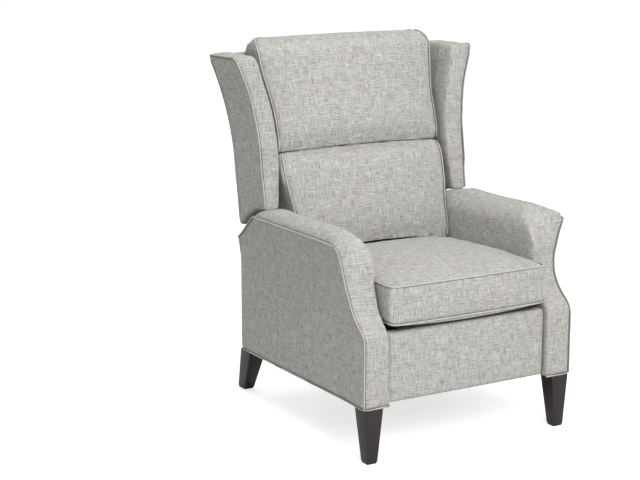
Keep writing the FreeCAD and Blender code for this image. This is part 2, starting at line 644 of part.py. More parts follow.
def make_footrest():
    """The padded panel under the seat, its board, and the brackets that its links hold."""
    half = HALF_INSIDE - FOOTREST_SIDE_GAP
    board_front = FOOTREST_BACK - FOOTREST_BOARD
    corner = FOOTREST_EDGE_ROUND
    turn = corner * (1 - math.sqrt(0.5))
    edge_front = FOOTREST_FRONT + FOOTREST_CROWN
    right = [(half - corner, edge_front), ((half - turn, edge_front + turn), (half, edge_front + corner)),
             (half, board_front)]
    steps = right[1:] + [(-half, board_front)] + mirrored_outline(right)[1:]
    steps += [((0, FOOTREST_FRONT), right[0])]
    plan = plan_profile(FOOTREST_BOTTOM - 1, FOOTREST_TOP + 1, right[0], steps)
    low = FOOTREST_BOTTOM
    high = FOOTREST_TOP
    edge_front = FOOTREST_FRONT + 1
    side = side_profile(-half - 1, half + 1, (board_front, low),
                        [(edge_front + corner, low),
                         ((edge_front + turn, low + turn), (edge_front, low + corner)),
                         ((FOOTREST_FRONT - 1, (low + high) / 2), (edge_front, high - corner)),
                         ((edge_front + turn, high - turn), (edge_front + corner, high)), (board_front, high)])
    add("footrest_pad", plan.common(side))
    half -= FOOTREST_BOARD_INSET
    add("footrest_board", box(-half, half, board_front, FOOTREST_BACK, FOOTREST_BOTTOM + FOOTREST_BOARD_INSET,
                              FOOTREST_TOP - FOOTREST_BOARD_INSET))

    x0, x1 = layer(5)
    top = CROSS_END[1] + LINK_HALF_WIDTH + 3
    arm = side_profile(x0, x1, (FOOTREST_BACK, PANEL_LINK_FRONT[1] - 44),
                       [(FOOTREST_BACK + SHEET + 6, PANEL_LINK_FRONT[1] - 44),
                        (PANEL_LINK_FRONT[0], PANEL_LINK_FRONT[1] - BOSS_RADIUS),
                        ((PANEL_LINK_FRONT[0] + BOSS_RADIUS, PANEL_LINK_FRONT[1]),
                         (PANEL_LINK_FRONT[0], PANEL_LINK_FRONT[1] + BOSS_RADIUS)),
                        (CROSS_END[0] + 12, top), (FOOTREST_BACK, top)])
    flange = box(x0 - BRACKET_FLANGE, x1, FOOTREST_BACK, FOOTREST_BACK + SHEET, PANEL_LINK_FRONT[1] - 44, top)
    bracket = joined(arm, flange, bolt_inward(PANEL_LINK_FRONT, 5, 6))
    add_pair("footrest_bracket", drilled(bracket, CROSS_END, 5, HOLE_RADIUS))


def make_footrest_links():
    """The four links on each side that push the footrest out, and the tube that ties the sides."""
    long_link = joined(bar([LONG_PIVOT, LONG_END, PANEL_LINK_REAR], 3), bolt_inward(LONG_END, 3, 4))
    standoff = rod(layer(6)[1] + HEAD_GAP, layer(3)[0], PANEL_LINK_REAR, HEAD_RADIUS)
    pin_end = layer(6)[0] - HEAD_GAP
    pin = rod(pin_end - HEAD_THICKNESS, layer(3)[0], PANEL_LINK_REAR, PIN_RADIUS)
    head = six_sided(pin_end - HEAD_THICKNESS, pin_end, PANEL_LINK_REAR)
    long_link = joined(long_link, standoff, pin, head)
    add_pair("long_link", drilled(long_link, LONG_PIVOT, 3, HOLE_RADIUS))

    tube_end = layer(3)[0] - SHEET_GAP
    tube = rod(-tube_end, tube_end, LONG_PIVOT, DRIVE_TUBE_RADIUS)
    add("drive_tube", tube.cut(rod(-tube_end, tube_end, LONG_PIVOT, DRIVE_TUBE_RADIUS - DRIVE_TUBE_WALL)))

    short_link = joined(bar([short_pivot(), short_end()], 3), bolt_inward(short_end(), 3, 4))
    add_pair("short_link", drilled(short_link, short_pivot(), 3, HOLE_RADIUS))

    cross_link = joined(bar([CROSS_END, short_end(), LONG_END], 4), bolt_inward(CROSS_END, 4, 5))
    for pivot in (short_end(), LONG_END):
        cross_link = drilled(cross_link, pivot, 4, HOLE_RADIUS)
    add_pair("cross_link", cross_link)

    eye = rod(layer(6)[0], layer(6)[1], PANEL_LINK_FRONT, LINK_HALF_WIDTH + PANEL_LINK_SLACK)
    panel_link = joined(bar([PANEL_LINK_REAR, PANEL_LINK_FRONT], 6), eye)
    panel_link = drilled(panel_link, PANEL_LINK_REAR, 6, HOLE_RADIUS)
    add_pair("panel_link", drilled(panel_link, PANEL_LINK_FRONT, 6, PIN_RADIUS + PANEL_LINK_SLACK))


def make_control_links():
    """The links from the base to the back brackets, which push the seat forward as the back goes down."""
    eye = rod(layer(1)[0], layer(1)[1], CONTROL_PIVOT_BACK, LINK_HALF_WIDTH + CONTROL_SLACK)
    link = joined(bar([CONTROL_PIVOT_BASE, CONTROL_PIVOT_BACK], 1), eye)
    link = drilled(link, CONTROL_PIVOT_BASE, 1, HOLE_RADIUS)
    add_pair("control_link", drilled(link, CONTROL_PIVOT_BACK, 1, PIN_RADIUS + CONTROL_SLACK))


def frame_front():
    """Depth of the front of the back frame, before it is leaned."""
    return LEAN_HINGE[0] - OUTSIDE_BACK_THICKNESS - BACK_FRAME_THICKNESS


def make_back_frame():
    """Shaped posts, rails, webbing and the steel brackets that carry the back."""
    front = frame_front()
    rear = front + BACK_FRAME_THICKNESS
    outer = layer(3)[0]
    inner = outer - POST_WIDTH
    post = front_profile(front, rear, (inner, BACK_FRAME_BOTTOM),
                         [(outer, BACK_FRAME_BOTTOM), (outer, POST_SHOULDER_START),
                          ((outer + 12, POST_SHOULDER_START + 48), (POST_SHOULDER_OUT, POST_SHOULDER_END)),
                          (POST_SHOULDER_OUT, BACK_FRAME_TOP), (inner, BACK_FRAME_TOP)])
    add_pair("back_post", leaned(post))
    add("back_top_rail", leaned(box(-inner, inner, front, rear, BACK_FRAME_TOP - BACK_RAIL_HEIGHT, BACK_FRAME_TOP)))
    add("back_bottom_rail", leaned(box(-inner, inner, front, rear, BACK_FRAME_BOTTOM,
                                       BACK_FRAME_BOTTOM + BACK_RAIL_HEIGHT)))
    straps = [box(-outer, outer, front - WEBBING_THICKNESS, front, z, z + WEBBING_WIDTH) for z in WEBBING_HEIGHTS]
    add("back_webbing", leaned(Part.makeCompound(straps)))

    x0, x1 = layer(3)
    plate = front_profile(front, rear, (x0, BACK_FRAME_BOTTOM), [(x1, BACK_FRAME_BOTTOM), (x1, BRACKET_TOP),
                                                               (x0, BRACKET_TOP)])
    strap = leaned(plate)
    low = (BACK_PIVOT[0], BACK_PIVOT[1] - BOSS_RADIUS)
    wing = side_profile(x0, x1, low, [((BACK_PIVOT[0] - BOSS_RADIUS, BACK_PIVOT[1]),
                                       (BACK_PIVOT[0], BACK_PIVOT[1] + BOSS_RADIUS)),
                                      (CONTROL_PIVOT_BACK[0], CONTROL_PIVOT_BACK[1] + 40),
                                      (CONTROL_PIVOT_BACK[0] + 24, CONTROL_PIVOT_BACK[1] + 70),
                                      (CONTROL_PIVOT_BACK[0] + 24, CONTROL_PIVOT_BACK[1] - 4),
                                      (CONTROL_PIVOT_BACK[0], CONTROL_PIVOT_BACK[1] - BOSS_RADIUS)])
    bracket = joined(strap, wing, bolt_outward(CONTROL_PIVOT_BACK, 3, 1))
    add_pair("back_bracket", drilled(bracket, BACK_PIVOT, 3, HOLE_RADIUS))


def wing_outer_steps():
    """The outer edge of a wing in the front view, from its heel to its top."""
    waist = WING_BOTTOM + 150
    middle = (WING_OUTER_BOTTOM + (WING_OUTER_TOP - WING_OUTER_BOTTOM) * 0.28, waist + (WING_REAR_TOP - waist) * 0.52)
    return [(WING_OUTER_BOTTOM + 1.5, waist), (middle, (WING_OUTER_TOP, WING_REAR_TOP))]


def make_wings():
    """Padded wings, each with its board, and the outside back that spans between their edges."""
    rear = LEAN_HINGE[0] - OUTSIDE_BACK_THICKNESS
    front = LEAN_HINGE[0] - BACK_DEPTH
    notch_start = (front + 62, WING_BOTTOM + 1)
    heel_middle = WING_NOTCH
    side = side_profile(WING_INNER_WAIST - 30, WING_OUTER_TOP + 20, (front, WING_BOTTOM),
                        [notch_start, (heel_middle, (rear + 6, WING_HEEL)), (rear + 6, WING_REAR_TOP + 2),
                         (front + 24, WING_FRONT_TOP + 4), ((front + 5, WING_FRONT_TOP - 5), (front, WING_FRONT_TOP - 22))])
    waist = WING_BOTTOM + 110
    outline = [(WING_OUTER_BOTTOM, WING_HEEL - 2)] + wing_outer_steps()
    outline += [(WING_INNER_TOP, WING_REAR_TOP), (WING_INNER_TOP, WING_FRONT_TOP - 8),
                ((WING_INNER_WAIST + 17, WING_FRONT_TOP - 128), (WING_INNER_WAIST, WING_FRONT_TOP - 258)),
                ((WING_INNER_WAIST + 3, waist - 12), (WING_INNER_BOTTOM, WING_BOTTOM)),
                (WING_INNER_BOTTOM, WING_HEEL - 2)]
    pad = front_profile(front - 1, rear, outline[0], outline[1:]).common(side)
    board = box(WING_BOARD_INNER, WING_BOARD_INNER + WING_BOARD_THICKNESS, front + 25, rear,
                WING_BOTTOM + WING_BOARD_OVER_BOTTOM, WING_FRONT_TOP - WING_BOARD_UNDER_TOP)
    add_pair("wing_pad", leaned(pad.cut(board)))
    add_pair("wing_board", leaned(board))

    back = LEAN_HINGE[0]
    half = OUTSIDE_BACK_WAIST
    right = [(half, OUTSIDE_BACK_BOTTOM), (half, OUTSIDE_BACK_STEP),
             ((half + 24, OUTSIDE_BACK_STEP + 20), (half + 52, WING_HEEL)),
             (WING_OUTER_BOTTOM, WING_HEEL)] + wing_outer_steps()
    crown = ((0, WING_REAR_TOP + OUTSIDE_BACK_CROWN), (-WING_OUTER_TOP, WING_REAR_TOP))
    steps = right[1:] + [crown] + mirrored_outline(right)
    panel = front_profile(rear, back, right[0], steps)
    add("outside_back", leaned(panel))


def crowned_cushion(side, middle, half, rear, cap):
    """A cushion body lofted across the chair: its front curve moves forward from the sides to the middle."""
    wires = []
    for x, share in ((-half, 0.0), (-half * 0.62, CROWN_AT_QUARTER), (0.0, 1.0),
                     (half * 0.62, CROWN_AT_QUARTER), (half, 0.0)):
        curve = [tuple(a + (b - a) * share for a, b in zip(p, q)) for p, q in zip(side, middle)]
        steps = [curve[0]]
        for i in range(1, len(curve) - 1, 2):
            steps += through_arc(steps[-1], curve[i], curve[i + 1], FACETS_PER_ARC)
        steps += cap(curve[-1])
        wires.append(wire_from(lambda p, x=x: V(x, p[0], p[1]), (rear, curve[0][1]), steps))
    return Part.makeLoft(wires, True, True)


def make_back_cushions():
    """The lower and upper back cushions. The upper one rolls back over the top rail."""
    rest = frame_front() - WEBBING_THICKNESS - CUSHION_REST
    panel_front = frame_front() + BACK_FRAME_THICKNESS
    deep = panel_front - CUSHION_REST
    lower = crowned_cushion(LOWER_CUSHION_SIDE, LOWER_CUSHION_MIDDLE, LOWER_CUSHION_HALF + 8, rest,
                            lambda top: [(rest, top[1])])
    upper = crowned_cushion(UPPER_CUSHION_SIDE, UPPER_CUSHION_MIDDLE, UPPER_CUSHION_HALF_TOP + 8, deep,
                            lambda top: through_arc(top, (deep - 16, top[1] - 7), (deep, top[1] - 32), 3))

    half = LOWER_CUSHION_HALF
    narrow = LOWER_CUSHION_HALF_BETWEEN_ARMS
    low = LOWER_CUSHION_BOTTOM
    split = SPLIT_HEIGHT - SPLIT_GAP
    spread = ARM_ROLL_INSIDE
    right = [(narrow - 12, low), ((narrow - 3, low + 4), (narrow, low + 13)), (narrow, spread),
             ((narrow + 5, spread + 22), (narrow + 10, spread + LOWER_CUSHION_SPREAD)),
             ((half, spread + LOWER_CUSHION_SPREAD + 65), (half, split - 18)),
             ((half - 3, split - 5), (half - 12, split))]
    steps = right[1:] + [((0, split + SPLIT_ARCH), (-half + 12, split))] + mirrored_outline(right)
    steps += [((0, low + LOWER_CUSHION_ARCH), right[0])]
    outline = front_profile(0, 2 * rest, right[0], steps)
    add("lower_back_cushion", leaned(lower.common(outline)))

    top_half, top = UPPER_CUSHION_CORNER
    split = SPLIT_HEIGHT
    right = [(UPPER_CUSHION_HALF_BOTTOM - 8, split),
             ((UPPER_CUSHION_HALF_BOTTOM - 2, split + 3), (UPPER_CUSHION_HALF_BOTTOM, split + 11)),
             ((UPPER_CUSHION_HALF_WAIST, split + 92), (UPPER_CUSHION_HALF_WAIST + 10, split + UPPER_CUSHION_WAIST)),
             ((UPPER_CUSHION_HALF_TOP - 7, (split + UPPER_CUSHION_WAIST + top - UPPER_CUSHION_ROUND) / 2),
              (UPPER_CUSHION_HALF_TOP, top - UPPER_CUSHION_ROUND)),
             ((UPPER_CUSHION_HALF_TOP - 9, top - 14), (top_half, top))]
    steps = right[1:] + [((0, top + 4), (-top_half, top))] + mirrored_outline(right)
    steps += [((0, split + SPLIT_ARCH), right[0])]
    outline = front_profile(0, 2 * rest, right[0], steps)
    wide = UPPER_CUSHION_HALF_TOP + 10
    frame = box(-wide, wide, rest, panel_front, split - 10, BACK_FRAME_TOP + CUSHION_REST)
    add("upper_back_cushion", leaned(upper.common(outline).cut(frame)))


def build():
    """Makes every piece and writes each to its own file."""
    pad, front_block, rear_block = make_arms()
    make_legs(pad, front_block, rear_block)
    make_rear_of_base()
    make_base_plates()
    make_swing_links()
    make_seat_frame()
    make_seat_cushion()
    make_footrest()
    make_footrest_links()
    make_control_links()
    make_back_frame()
    make_wings()
    make_back_cushions()
    os.makedirs("parts", exist_ok=True)
    for name, shape in PIECES.items():
        placed = shape.copy()
        placed.translate(V(0, -HALF_DEPTH, 0))
        if not placed.isValid():
            print("not valid:", name)
        solids = placed.Solids
        result = solids[0] if len(solids) == 1 else Part.makeCompound(solids)
        result.exportStep(os.path.join("parts", name + ".step"))
    print(len(PIECES), "pieces")


build()
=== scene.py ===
import math
from contextlib import contextmanager

import bmesh
import bpy
import numpy as np
from mathutils import Matrix, Vector
from mathutils.bvhtree import BVHTree
from mathutils.kdtree import KDTree


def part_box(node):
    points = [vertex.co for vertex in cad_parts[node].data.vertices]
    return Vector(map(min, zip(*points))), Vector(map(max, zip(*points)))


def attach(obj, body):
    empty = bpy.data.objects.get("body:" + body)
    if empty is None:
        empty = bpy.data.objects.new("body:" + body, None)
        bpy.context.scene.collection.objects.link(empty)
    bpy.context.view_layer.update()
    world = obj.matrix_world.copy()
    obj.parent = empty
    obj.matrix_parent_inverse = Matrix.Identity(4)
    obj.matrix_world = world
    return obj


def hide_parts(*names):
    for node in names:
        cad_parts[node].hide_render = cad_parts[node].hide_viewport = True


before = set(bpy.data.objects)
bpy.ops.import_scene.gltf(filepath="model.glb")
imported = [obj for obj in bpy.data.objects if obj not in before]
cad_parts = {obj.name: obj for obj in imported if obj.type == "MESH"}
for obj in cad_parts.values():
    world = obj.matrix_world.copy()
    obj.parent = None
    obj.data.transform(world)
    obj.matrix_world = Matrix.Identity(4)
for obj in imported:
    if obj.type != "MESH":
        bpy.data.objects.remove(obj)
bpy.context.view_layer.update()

bl_info = {
    "name": "High-Leg Wing Recliner",
    "version": (1, 0, 0),
    "blender": (4, 5, 0),
    "location": "3D View > Sidebar > Recliner",
    "description": "Dresses the recliner's frame in tweed, welts, padding, stained wood and steel",
    "category": "Add Mesh",
}

# Sizes are in metres. A depth is measured backwards from the arm fronts, and ARM_FRONT is their place.
ARM_FRONT = -0.429
BODY_HALF = 0.362
INSIDE_HALF = 0.280
ARM_BOTTOM = 0.164
ARM_DEPTH = 0.748
ARM_TOP = 0.659
ARM_SCOOP = 0.091
FLARE_TOP = (0.406, 0.626)
BACK_LEAN = math.radians(8.4)
LEAN_HINGE = (0.740, 0.573)  # depth and height of the line that the leaned pieces are turned about
WING_FRONT = 0.550
WING_REAR = 0.726
WING_HALF = 0.369
WING_HEEL = 0.571
WING_TOP = (0.431, 1.103)
WING_FOOT = 0.619
WING_TURN = (WING_FRONT, 1.056)
WING_CORNER = ((WING_FRONT + 0.005, 1.073), (WING_FRONT + 0.024, 1.082))
CORNER = 0.024  # radius of the arm's top front corner, and of the seat cushion's corners
CORNER_CUT = CORNER * (1 - math.sqrt(0.5))
SEAT_HALF = 0.276
SEAT_NOSE = 0.002
SEAT_REAR = 0.540
PANEL_CELL = 0.005
CORD_SPACING = 0.006
STRAP_HALF = 0.255
STRAP_WIDTH = 0.050
STRAP_DEPTH = 0.6912
STRAP_HEIGHTS = (0.420, 0.540, 0.660, 0.780, 0.900)
HEM = 0.007  # a cushion is held within this distance of its seams
FILLING_FRAMES = 20
FLOOR_GLOW = 0.68
CAMERA_SPOT = (-2.729, -4.174, 1.619)
CAMERA_AIM = (0.498, 0.841, -0.212)
WHITE = (1, 1, 1, 1)
SIDES = (("right", 1), ("left", -1))


class TweedProperties(bpy.types.PropertyGroup):
    """Colours and scale of the woven cover."""

    ground: bpy.props.FloatVectorProperty(
        name="Ground", description="Colour of most of the yarn", subtype="COLOR", size=3,
        default=(0.495, 0.487, 0.455), min=0, max=1)
    dark_yarn: bpy.props.FloatVectorProperty(
        name="Dark Yarn", description="Colour of the darker dashes", subtype="COLOR", size=3,
        default=(0.130, 0.122, 0.112), min=0, max=1)
    pale_yarn: bpy.props.FloatVectorProperty(
        name="Pale Yarn", description="Colour of the paler threads", subtype="COLOR", size=3,
        default=(0.820, 0.812, 0.775), min=0, max=1)
    rose_yarn: bpy.props.FloatVectorProperty(
        name="Rose Yarn", description="Faint warm tint that comes and goes over the cloth", subtype="COLOR",
        size=3, default=(0.520, 0.462, 0.415), min=0, max=1)
    dash_width: bpy.props.FloatProperty(
        name="Dash Width", description="Width of one dash of yarn", subtype="DISTANCE", unit="LENGTH",
        default=0.0031, min=0.0005, max=0.02)
    dash_length: bpy.props.FloatProperty(
        name="Dash Length", description="Length of one dash of yarn", subtype="DISTANCE", unit="LENGTH",
        default=0.032, min=0.002, max=0.2)
    thread_pitch: bpy.props.FloatProperty(
        name="Thread Pitch", description="Distance from one thread to the next", subtype="DISTANCE",
        unit="LENGTH", default=0.0015, min=0.0003, max=0.01)


class PaddingProperties(bpy.types.PropertyGroup):
    """How the padded pieces are shaped."""

    cell: bpy.props.FloatProperty(
        name="Cell", description="Size of the mesh cells of the arms and wings", subtype="DISTANCE",
        unit="LENGTH", default=0.005, min=0.002, max=0.02)
    cushion_cell: bpy.props.FloatProperty(
        name="Cushion Cell", description="Size of the mesh cells of a cushion before it is subdivided",
        subtype="DISTANCE", unit="LENGTH", default=0.0075, min=0.003, max=0.02)
    pressure: bpy.props.FloatProperty(
        name="Pressure", description="Pressure that fills the loose cushions", default=4.0, min=0, max=20)
    slack: bpy.props.FloatProperty(
        name="Slack", description="How far a cushion is let down before it is filled", subtype="DISTANCE",
        unit="LENGTH", default=0.006, min=0, max=0.03)
    most_swell: bpy.props.FloatProperty(
        name="Most Swell", description="The furthest that filling may move a point of a cushion",
        subtype="DISTANCE", unit="LENGTH", default=0.024, min=0, max=0.04)


class WeltProperties(bpy.types.PropertyGroup):
    """The covered cords along the edges."""

    radius: bpy.props.FloatProperty(
        name="Radius", description="Radius of the covered cord", subtype="DISTANCE", unit="LENGTH",
        default=0.0028, min=0.001, max=0.01)
    crease: bpy.props.FloatProperty(
        name="Crease", description="Depth of the crease that the cord is sewn into", subtype="DISTANCE",
        unit="LENGTH", default=0.0030, min=0, max=0.01)
    crease_width: bpy.props.FloatProperty(
        name="Crease Width", description="Half the width of the crease", subtype="DISTANCE", unit="LENGTH",
        default=0.0075, min=0.002, max=0.03)


class WoodProperties(bpy.types.PropertyGroup):
    """Finish of the legs and of the frame."""

    leg_stain: bpy.props.FloatVectorProperty(
        name="Leg Stain", description="Colour of the stained legs", subtype="COLOR", size=3,
        default=(0.017, 0.010, 0.009), min=0, max=1)
    leg_grain: bpy.props.FloatVectorProperty(
        name="Leg Grain", description="Colour of the open grain in the legs", subtype="COLOR", size=3,
        default=(0.008, 0.005, 0.005), min=0, max=1)
    frame_wood: bpy.props.FloatVectorProperty(
        name="Frame Wood", description="Colour of the bare hardwood", subtype="COLOR", size=3,
        default=(0.56, 0.41, 0.25), min=0, max=1)
    edge_round: bpy.props.FloatProperty(
        name="Edge Round", description="Rounding of the legs' edges", subtype="DISTANCE", unit="LENGTH",
        default=0.0016, min=0, max=0.01)


class StudioProperties(bpy.types.PropertyGroup):
    """Floor, lamps and camera."""

    floor: bpy.props.FloatVectorProperty(
        name="Floor", description="Colour of the floor", subtype="COLOR", size=3,
        default=(0.76, 0.76, 0.77), min=0, max=1)
    ambient: bpy.props.FloatProperty(
        name="Ambient", description="Strength of the even light from all round", default=0.46, min=0, max=5)
    key_power: bpy.props.FloatProperty(
        name="Key Power", description="Power of the large lamp in front on the right", subtype="POWER",
        unit="POWER", default=129.0, min=0)
    top_power: bpy.props.FloatProperty(
        name="Top Power", description="Power of the large lamp overhead", subtype="POWER", unit="POWER",
        default=38.0, min=0)
    lens: bpy.props.FloatProperty(
        name="Lens", description="Focal length of the camera, in millimetres", default=92.64, min=10,
        max=300)


def arc(start, middle, end, count=14):
    """Points along the circle from start through middle to end, without the start."""
    (ax, ay), (bx, by), (cx, cy) = start, middle, end
    d = 2 * (ax * (by - cy) + bx * (cy - ay) + cx * (ay - by))
    a2, b2, c2 = ax * ax + ay * ay, bx * bx + by * by, cx * cx + cy * cy
    x = (a2 * (by - cy) + b2 * (cy - ay) + c2 * (ay - by)) / d
    y = (a2 * (cx - bx) + b2 * (ax - cx) + c2 * (bx - ax)) / d
    turns = [math.atan2(p[1] - y, p[0] - x) for p in (start, middle, end)]
    sweep = (turns[2] - turns[0]) % math.tau
    if (turns[1] - turns[0]) % math.tau > sweep:
        sweep -= math.tau
    radius = math.dist((x, y), start)
    angles = [turns[0] + sweep * (i + 1) / count for i in range(count)]
    return [(x + radius * math.cos(a), y + radius * math.sin(a)) for a in angles]


def outline(start, steps, count=14):
    """Points of an outline. A step is a point, or a pair of points for an arc through the first."""
    points = [start]
    for step in steps:
        points += arc(points[-1], step[0], step[1], count) if isinstance(step[0], tuple) else [step]
    if math.dist(points[0], points[-1]) < 1e-6:
        points.pop()
    return points


def along(points, key, value, result):
    """Looks up one coordinate of a curve from another that only grows along it."""
    known = [p[key] for p in points]
    return float(np.interp(value, known, [p[result] for p in points]))


def resampled(points, step):
    """The same line of 3D points with even spacing."""
    points = np.array([tuple(p) for p in points], float)
    lengths = np.concatenate([[0], np.cumsum(np.linalg.norm(np.diff(points, axis=0), axis=1))])
    count = max(2, int(lengths[-1] / step) + 1)
    marks = np.linspace(0, lengths[-1], count)
    return np.column_stack([np.interp(marks, lengths, points[:, i]) for i in range(3)])


def placed(leaned):
    """The matrix from a piece's drawing position to its place in the chair."""
    move = Matrix.Translation((0, ARM_FRONT, 0))
    if not leaned:
        return move
    hinge = Matrix.Translation((0, *LEAN_HINGE))
    return move @ hinge @ Matrix.Rotation(-BACK_LEAN, 4, "X") @ hinge.inverted()


def new_piece(name, mesh):
    """Puts a mesh in the scene as its own object."""
    piece = bpy.data.objects.new(name, mesh)
    bpy.context.scene.collection.objects.link(piece)
    bpy.context.view_layer.update()
    return piece


def built(name, bm):
    """Turns a bmesh into a piece with its faces pointing outwards."""
    bmesh.ops.recalc_face_normals(bm, faces=bm.faces)
    mesh = bpy.data.meshes.new(name)
    bm.to_mesh(mesh)
    bm.free()
    return new_piece(name, mesh)


@contextmanager
def edited(source, result=None):
    """Opens a mesh for editing, and then writes it back or into another mesh."""
    bm = bmesh.new()
    bm.from_mesh(source)
    yield bm
    bm.to_mesh(source if result is None else result)
    bm.free()


def prism(name, points, axis, low, high):
    """A closed block between two places on an axis, from an outline in the other two."""
    spot = "XYZ".index(axis)
    bm = bmesh.new()
    rings = [[bm.verts.new((*p[:spot], c, *p[spot:])) for p in points] for c in (low, high)]
    for ring in rings:
        bm.faces.new(ring)
    for i in range(len(points)):
        j = (i + 1) % len(points)
        bm.faces.new((rings[0][i], rings[0][j], rings[1][j], rings[1][i]))
    return built(name, bm)


def rectangle(low, high):
    """The four corners between a low one and a high one."""
    return [low, (high[0], low[1]), high, (low[0], high[1])]


def baked(piece):
    """Turns a piece with its modifiers into a plain mesh."""
    bpy.context.view_layer.update()
    depsgraph = bpy.context.evaluated_depsgraph_get()
    mesh = bpy.data.meshes.new_from_object(piece.evaluated_get(depsgraph))
    piece.modifiers.clear()
    piece.data = mesh
    mesh.name = piece.name
    return piece


def modified(piece, kind, **settings):
    """Runs one modifier on a piece and keeps the result as a plain mesh."""
    change = piece.modifiers.new(kind.lower(), kind)
    for name, value in settings.items():
        setattr(change, name, value)
    return baked(piece)


def combined(piece, other, how):
    """Keeps what two blocks share, or cuts the second from the first."""
    modified(piece, "BOOLEAN", operation=how, object=other, solver="EXACT")
    bpy.data.objects.remove(other)
    return piece


def relaxed(mesh, rounds, where=None):
    """Evens out a mesh a little, which rounds its edges as padding does, all over or where asked."""
    with edited(mesh) as bm:
        chosen = [v for v in bm.verts if where is None or where(v.co)]
        for _ in range(rounds):
            bmesh.ops.smooth_vert(bm, verts=chosen, factor=0.5,
                                  use_axis_x=True, use_axis_y=True, use_axis_z=True)


def eased(value, start, end):
    """Goes smoothly from 0 at the start to 1 at the end."""
    share = min(1.0, max(0.0, (value - start) / (end - start)))
    return share * share * (3 - 2 * share)


def nudged(mesh, push):
    """Moves each point of a mesh by what push gives for its place and its normal."""
    moves = [push(v.co, v.normal) for v in mesh.vertices]
    for vertex, move in zip(mesh.vertices, moves):
        vertex.co += Vector(move)
    mesh.update()


def covered(piece, cell, rounds):
    """Gives a block an even skin with softly rounded edges."""
    modified(piece, "REMESH", mode="VOXEL", voxel_size=cell)
    relaxed(piece.data, rounds)
    piece.data.shade_smooth()
    return piece


def mirrored(piece, name):
    """The same piece for the other side of the chair."""
    mesh = bpy.data.meshes.new(name)
    with edited(piece.data, mesh) as bm:
        for vertex in bm.verts:
            vertex.co.x = -vertex.co.x
        bmesh.ops.reverse_faces(bm, faces=bm.faces)
    mesh.shade_smooth()
    return new_piece(name, mesh)


def frame_copy(node, name):
    """A welded copy of a frame piece, as its own object."""
    bm = bmesh.new()
    bm.from_mesh(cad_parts[node].data)
    bmesh.ops.remove_doubles(bm, verts=bm.verts, dist=2e-5)
    return built(name, bm)


def snapped(path, tree, proud):
    """Lays a line of points on a skin, standing proud of it by a little."""
    laid = []
    for point in path:
        spot, normal, _, _ = tree.find_nearest(Vector(point))
        laid.append(spot + normal * proud)
    laid = np.array([tuple(p) for p in laid])
    for _ in range(8):
        laid[1:-1] = laid[1:-1] * 0.5 + (laid[:-2] + laid[2:]) * 0.25
    return laid


def point_tree(lines):
    """A search tree of all the points of some lines."""
    points = [Vector(point) for line in lines for point in line]
    tree = KDTree(len(points))
    for index, point in enumerate(points):
        tree.insert(point, index)
    tree.balance()
    return tree


def creased(piece, paths, depth, width):
    """Draws the skin in along the lines where a cord is sewn in."""
    tree = point_tree([resampled(path, 0.003) for path in paths])
    mesh = piece.data
    for vertex in mesh.vertices:
        distance = tree.find(vertex.co)[2]
        if distance < 3 * width:
            vertex.co -= vertex.normal * depth * math.exp(-((distance / width) ** 2))
    mesh.update()


def fed(tree, node, inputs):
    """Gives a node its inputs, each a value or a socket that is joined to it."""
    for key, value in inputs.items():
        if isinstance(value, bpy.types.NodeSocket):
            tree.links.new(value, node.inputs[key])
        else:
            node.inputs[key].default_value = value
    return node


def added(tree, kind, inputs=None, **settings):
    """Adds a node with its settings and its inputs."""
    node = tree.nodes.new(kind)
    for name, value in settings.items():
        setattr(node, name, value)
    return fed(tree, node, inputs or {})


def new_tree(name, sizes):
    """A geometry tree with a geometry input and output, and a named input for each size."""
    tree = bpy.data.node_groups.new(name, "GeometryNodeTree")
    tree.interface.new_socket("Geometry", in_out="INPUT", socket_type="NodeSocketGeometry")
    for label, value in sizes.items():
        socket = tree.interface.new_socket(label, in_out="INPUT", socket_type="NodeSocketFloat")
        socket.default_value = value
    tree.interface.new_socket("Geometry", in_out="OUTPUT", socket_type="NodeSocketGeometry")
    return tree, added(tree, "NodeGroupInput").outputs


def finished(tree, geometry, material):
    """Makes what a geometry tree has built real, gives it a material and hands it out."""
    real = added(tree, "GeometryNodeRealizeInstances", {"Geometry": geometry})
    paint = added(tree, "GeometryNodeSetMaterial", {
        "Geometry": real.outputs["Geometry"], "Material": material})
    added(tree, "NodeGroupOutput", {"Geometry": paint.outputs["Geometry"]})
    return tree


def grown(piece, tree, **sizes):
    """Runs a geometry tree on a piece and keeps the result as a plain mesh."""
    change = piece.modifiers.new(tree.name, "NODES")
    change.node_group = tree
    for item in tree.interface.items_tree:
        if item.item_type == "SOCKET" and item.in_out == "INPUT" and item.name in sizes:
            change[item.identifier] = sizes[item.name]
    return baked(piece)


def welt_tree(material):
    """A covered cord along a line of edges."""
    tree, source = new_tree("welt cord", {"Radius": 0.003, "Spacing": CORD_SPACING})
    line = added(tree, "GeometryNodeMeshToCurve", {"Mesh": source["Geometry"]})
    even = added(tree, "GeometryNodeResampleCurve",
                 {"Curve": line.outputs["Curve"], "Length": source["Spacing"]}, mode="LENGTH")
    ring = added(tree, "GeometryNodeCurvePrimitiveCircle", {"Resolution": 8, "Radius": source["Radius"]})
    tube = added(tree, "GeometryNodeCurveToMesh", {
        "Curve": even.outputs["Curve"], "Profile Curve": ring.outputs["Curve"], "Fill Caps": True})
    soft = added(tree, "GeometryNodeSetShadeSmooth", {"Geometry": tube.outputs["Mesh"]})
    return finished(tree, soft.outputs["Geometry"], material)


def painted(piece, material):
    """Gives a piece one material all over."""
    piece.data.materials.clear()
    piece.data.materials.append(material)


